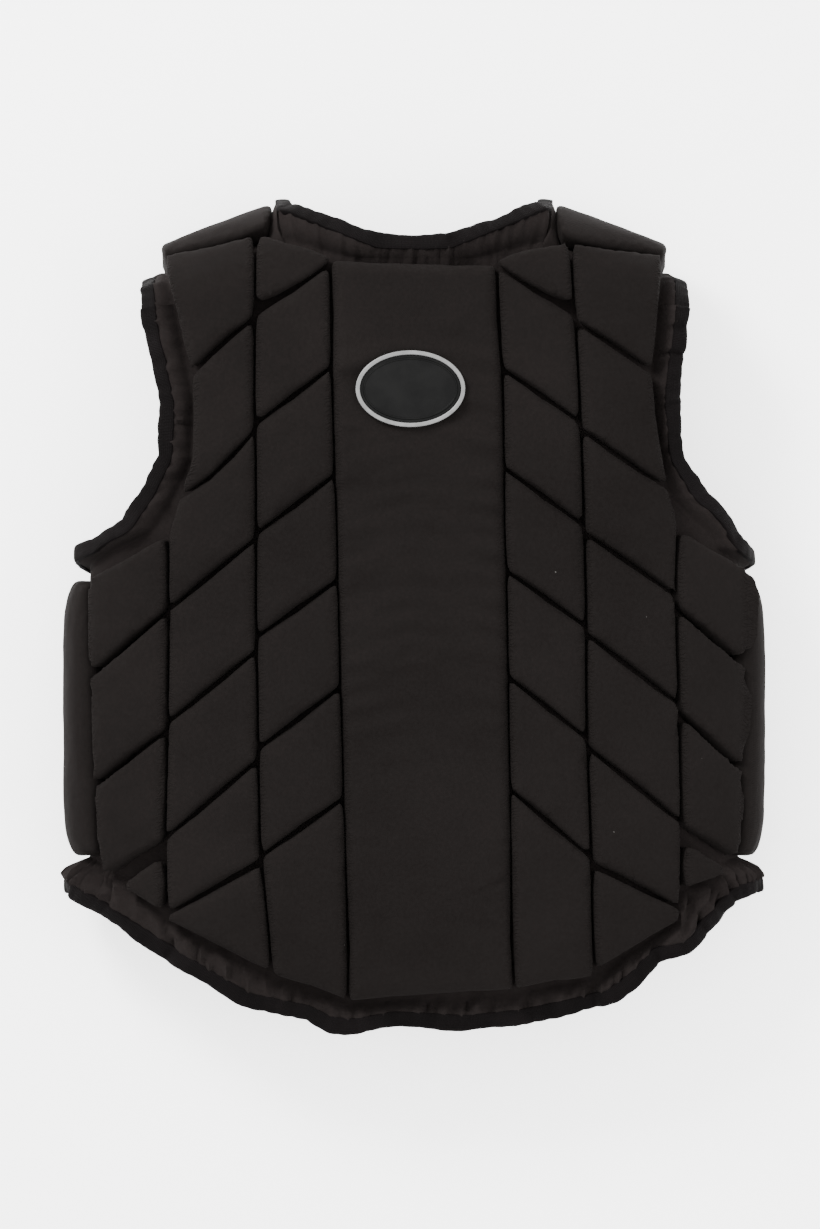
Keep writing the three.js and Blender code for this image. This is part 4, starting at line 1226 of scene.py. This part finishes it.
def tape_material():
    """Ribbed tape with a line of stitches along its inner edge."""
    material, tree, shader = new_material("ribbed_tape", (0.012, 0.010, 0.010), 0.7)
    place = tree.nodes.new("ShaderNodeTexCoord")
    along, across, _ = split_place(tree, place.outputs["UV"])
    broad = mottle(tree, place.outputs["Object"], 30, 3)
    tint = ramp(tree, broad, 0.3, 0.75, *TAPE_BLACK)
    tree.links.new(tint, shader.inputs["Base Color"])
    dull_sheen(shader, TAPE_SHEEN, 0.4)
    ribs = ribbing(tree, along, TAPE_RIB)
    height = calculate(tree, "MULTIPLY_ADD", ribbing(tree, across, TAPE_CROSS_RIB), 0.35, ribs)
    stitch_line = calculate(tree, "COMPARE", across, STITCH_PLACE, STITCH_HALF_WIDTH)
    stitch_step = calculate(tree, "GREATER_THAN", ribbing(tree, along, STITCH_STEP), -0.4)
    stitches = calculate(tree, "MULTIPLY", stitch_line, stitch_step)
    soft = bump(tree, shader, mottle(tree, place.outputs["Object"], 120, 3), 0.3, 0.0008)
    woven = bump(tree, shader, height, 0.7, 0.0003, soft)
    bump(tree, shader, stitches, 0.8, 0.0005, woven)
    return material


def rubber_material():
    """Dull black rubber of the badge's face."""
    material, tree, shader = new_material("badge_rubber", (0.004, 0.004, 0.004), 0.55)
    shader.inputs["Specular IOR Level"].default_value = 0.08
    place = tree.nodes.new("ShaderNodeTexCoord")
    grain = mottle(tree, place.outputs["Object"], 900, 3)
    broad = mottle(tree, place.outputs["Object"], 60, 3)
    tree.links.new(ramp(tree, broad, 0.35, 0.7, *RUBBER_BLACK), shader.inputs["Base Color"])
    tree.links.new(calculate(tree, "MULTIPLY_ADD", broad, 0.2, 0.34), shader.inputs["Roughness"])
    bump(tree, shader, grain, 0.25, 0.0002)
    return material


def rim_material():
    """Grey rubber of the badge's rim."""
    material, tree, shader = new_material("badge_rim", (0.45, 0.45, 0.44), 0.45)
    place = tree.nodes.new("ShaderNodeTexCoord")
    broad = mottle(tree, place.outputs["Object"], 140, 4)
    tree.links.new(ramp(tree, broad, 0.3, 0.75, *RIM_GREY), shader.inputs["Base Color"])
    bump(tree, shader, mottle(tree, place.outputs["Object"], 700, 2), 0.2, 0.0002)
    return material


def zip_material():
    """Zip with its coils along the middle of a woven tape."""
    material, tree, shader = new_material("closure", (0.010, 0.010, 0.010), 0.6)
    place = tree.nodes.new("ShaderNodeTexCoord")
    across, along, _ = split_place(tree, place.outputs["Object"])
    middle = calculate(tree, "COMPARE", across, 0, ZIP_HALF_WIDTH)
    coils = calculate(tree, "MULTIPLY", ribbing(tree, along, ZIP_COIL), middle)
    woven = weave_height(tree, place.outputs["Object"], ZIP_THREAD)
    bump(tree, shader, calculate(tree, "MULTIPLY_ADD", coils, 2.0, woven), 0.6, 0.0004)
    broad = mottle(tree, place.outputs["Object"], 90)
    tree.links.new(ramp(tree, broad, 0.3, 0.7, *ZIP_BLACK), shader.inputs["Base Color"])
    return material


block_fabric = woven_black("block_fabric", BLOCK_BLACK, BLOCK_SHEEN)
# The loose cloth gets the blocks' fabric painted paler: painted light against the shade beside the blocks'
# walls.
cloth_fabric = woven_black("cloth_fabric", CLOTH_BLACK_PAINTED_LIGHTER, CLOTH_SHEEN)
tape = tape_material()
rubber = rubber_material()
pale_rim = rim_material()
closure = zip_material()


def dress(piece, material):
    """Gives a piece its material and the body that it rides on."""
    piece.data.materials.clear()
    piece.data.materials.append(material)
    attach(piece, "root")


for block in blocks:
    dress(block, block_fabric)
    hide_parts(block.name.replace("_block", "_pad"))

dress(back_cloth, cloth_fabric)
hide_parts("back_cover")
for word, (piece, _, _) in front_cloths.items():
    dress(piece, cloth_fabric)
    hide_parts(f"front_cover_{word}")
for piece, node in ((armhole_left, "armhole_binding_left"), (armhole_right, "armhole_binding_right"),
                    (neck_tape, "neck_binding"), (hem_tape, "hem_binding")):
    dress(piece, tape)
    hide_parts(node)
dress(badge_face, rubber)
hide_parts("badge_plate")
dress(badge_edge, pale_rim)
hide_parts("badge_rim")
zip_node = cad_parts["front_zip"]
for slot_at in range(len(zip_node.material_slots)):
    zip_node.material_slots[slot_at].material = closure


# Floor, light and camera.
FLOOR_SIZE = 12
FLOOR_GAP = 0.0002
FLOOR_GLOW = 1.7
STUDIO_LIGHT = 2.8

bpy.ops.object.select_all(action="DESELECT")
bpy.ops.mesh.primitive_plane_add(size=FLOOR_SIZE, location=(0, 0, -FLOOR_GAP))
floor = bpy.context.object
floor.name = "floor"
floor_material, _, floor_shader = new_material("pale_floor", (0.95, 0.95, 0.95), 0.9)
floor_shader.inputs["Specular IOR Level"].default_value = 0.1
floor_shader.inputs["Emission Color"].default_value = (1, 1, 1, 1)
floor_shader.inputs["Emission Strength"].default_value = FLOOR_GLOW
floor.data.materials.append(floor_material)

world = bpy.data.worlds.new("studio")
bpy.context.scene.world = world
world.use_nodes = True
world.node_tree.nodes["Background"].inputs["Color"].default_value = (1, 1, 1, 1)
world.node_tree.nodes["Background"].inputs["Strength"].default_value = STUDIO_LIGHT


def area_light(name, place, size, power):
    """A square light at a place in metres, turned towards the vest."""
    bpy.ops.object.light_add(type="AREA", location=place)
    light = bpy.context.object
    light.name = name
    light.data.size = size
    light.data.energy = power
    light.rotation_euler = (-Vector(place)).to_track_quat("-Z", "Y").to_euler()


area_light("upper_left_light", (-1.4, 1.7, 1.5), 0.8, 140)
area_light("right_light", (1.9, -0.6, 1.9), 1.6, 40)

# The photograph's size, scale, column of the vest's middle and row of its length's zero.
PHOTO_WIDTH, PHOTO_HEIGHT = 820, 1229
MM_PER_PIXEL = 0.70
CENTRE_COLUMN = 414
LOWEST_ROW = 1035

# The camera's sensor, mm, how far above the vest it hangs and how high the vest's back lies, m.
SENSOR = 36
CAMERA_DISTANCE = 7.0
BACK_HEIGHT = 0.09

camera_data = bpy.data.cameras.new("camera")
camera = bpy.data.objects.new("camera", camera_data)
bpy.context.collection.objects.link(camera)
bpy.context.scene.camera = camera
camera_data.sensor_width = SENSOR
frame_height = PHOTO_HEIGHT * MM_PER_PIXEL / 1000
camera_data.lens = SENSOR * CAMERA_DISTANCE / frame_height
look_at = metres(np.array([(PHOTO_WIDTH / 2 - CENTRE_COLUMN) * MM_PER_PIXEL,
                           (LOWEST_ROW - PHOTO_HEIGHT / 2) * MM_PER_PIXEL, 0]))
camera.location = (look_at[0], look_at[1], BACK_HEIGHT + CAMERA_DISTANCE)
camera_data.clip_end = 50
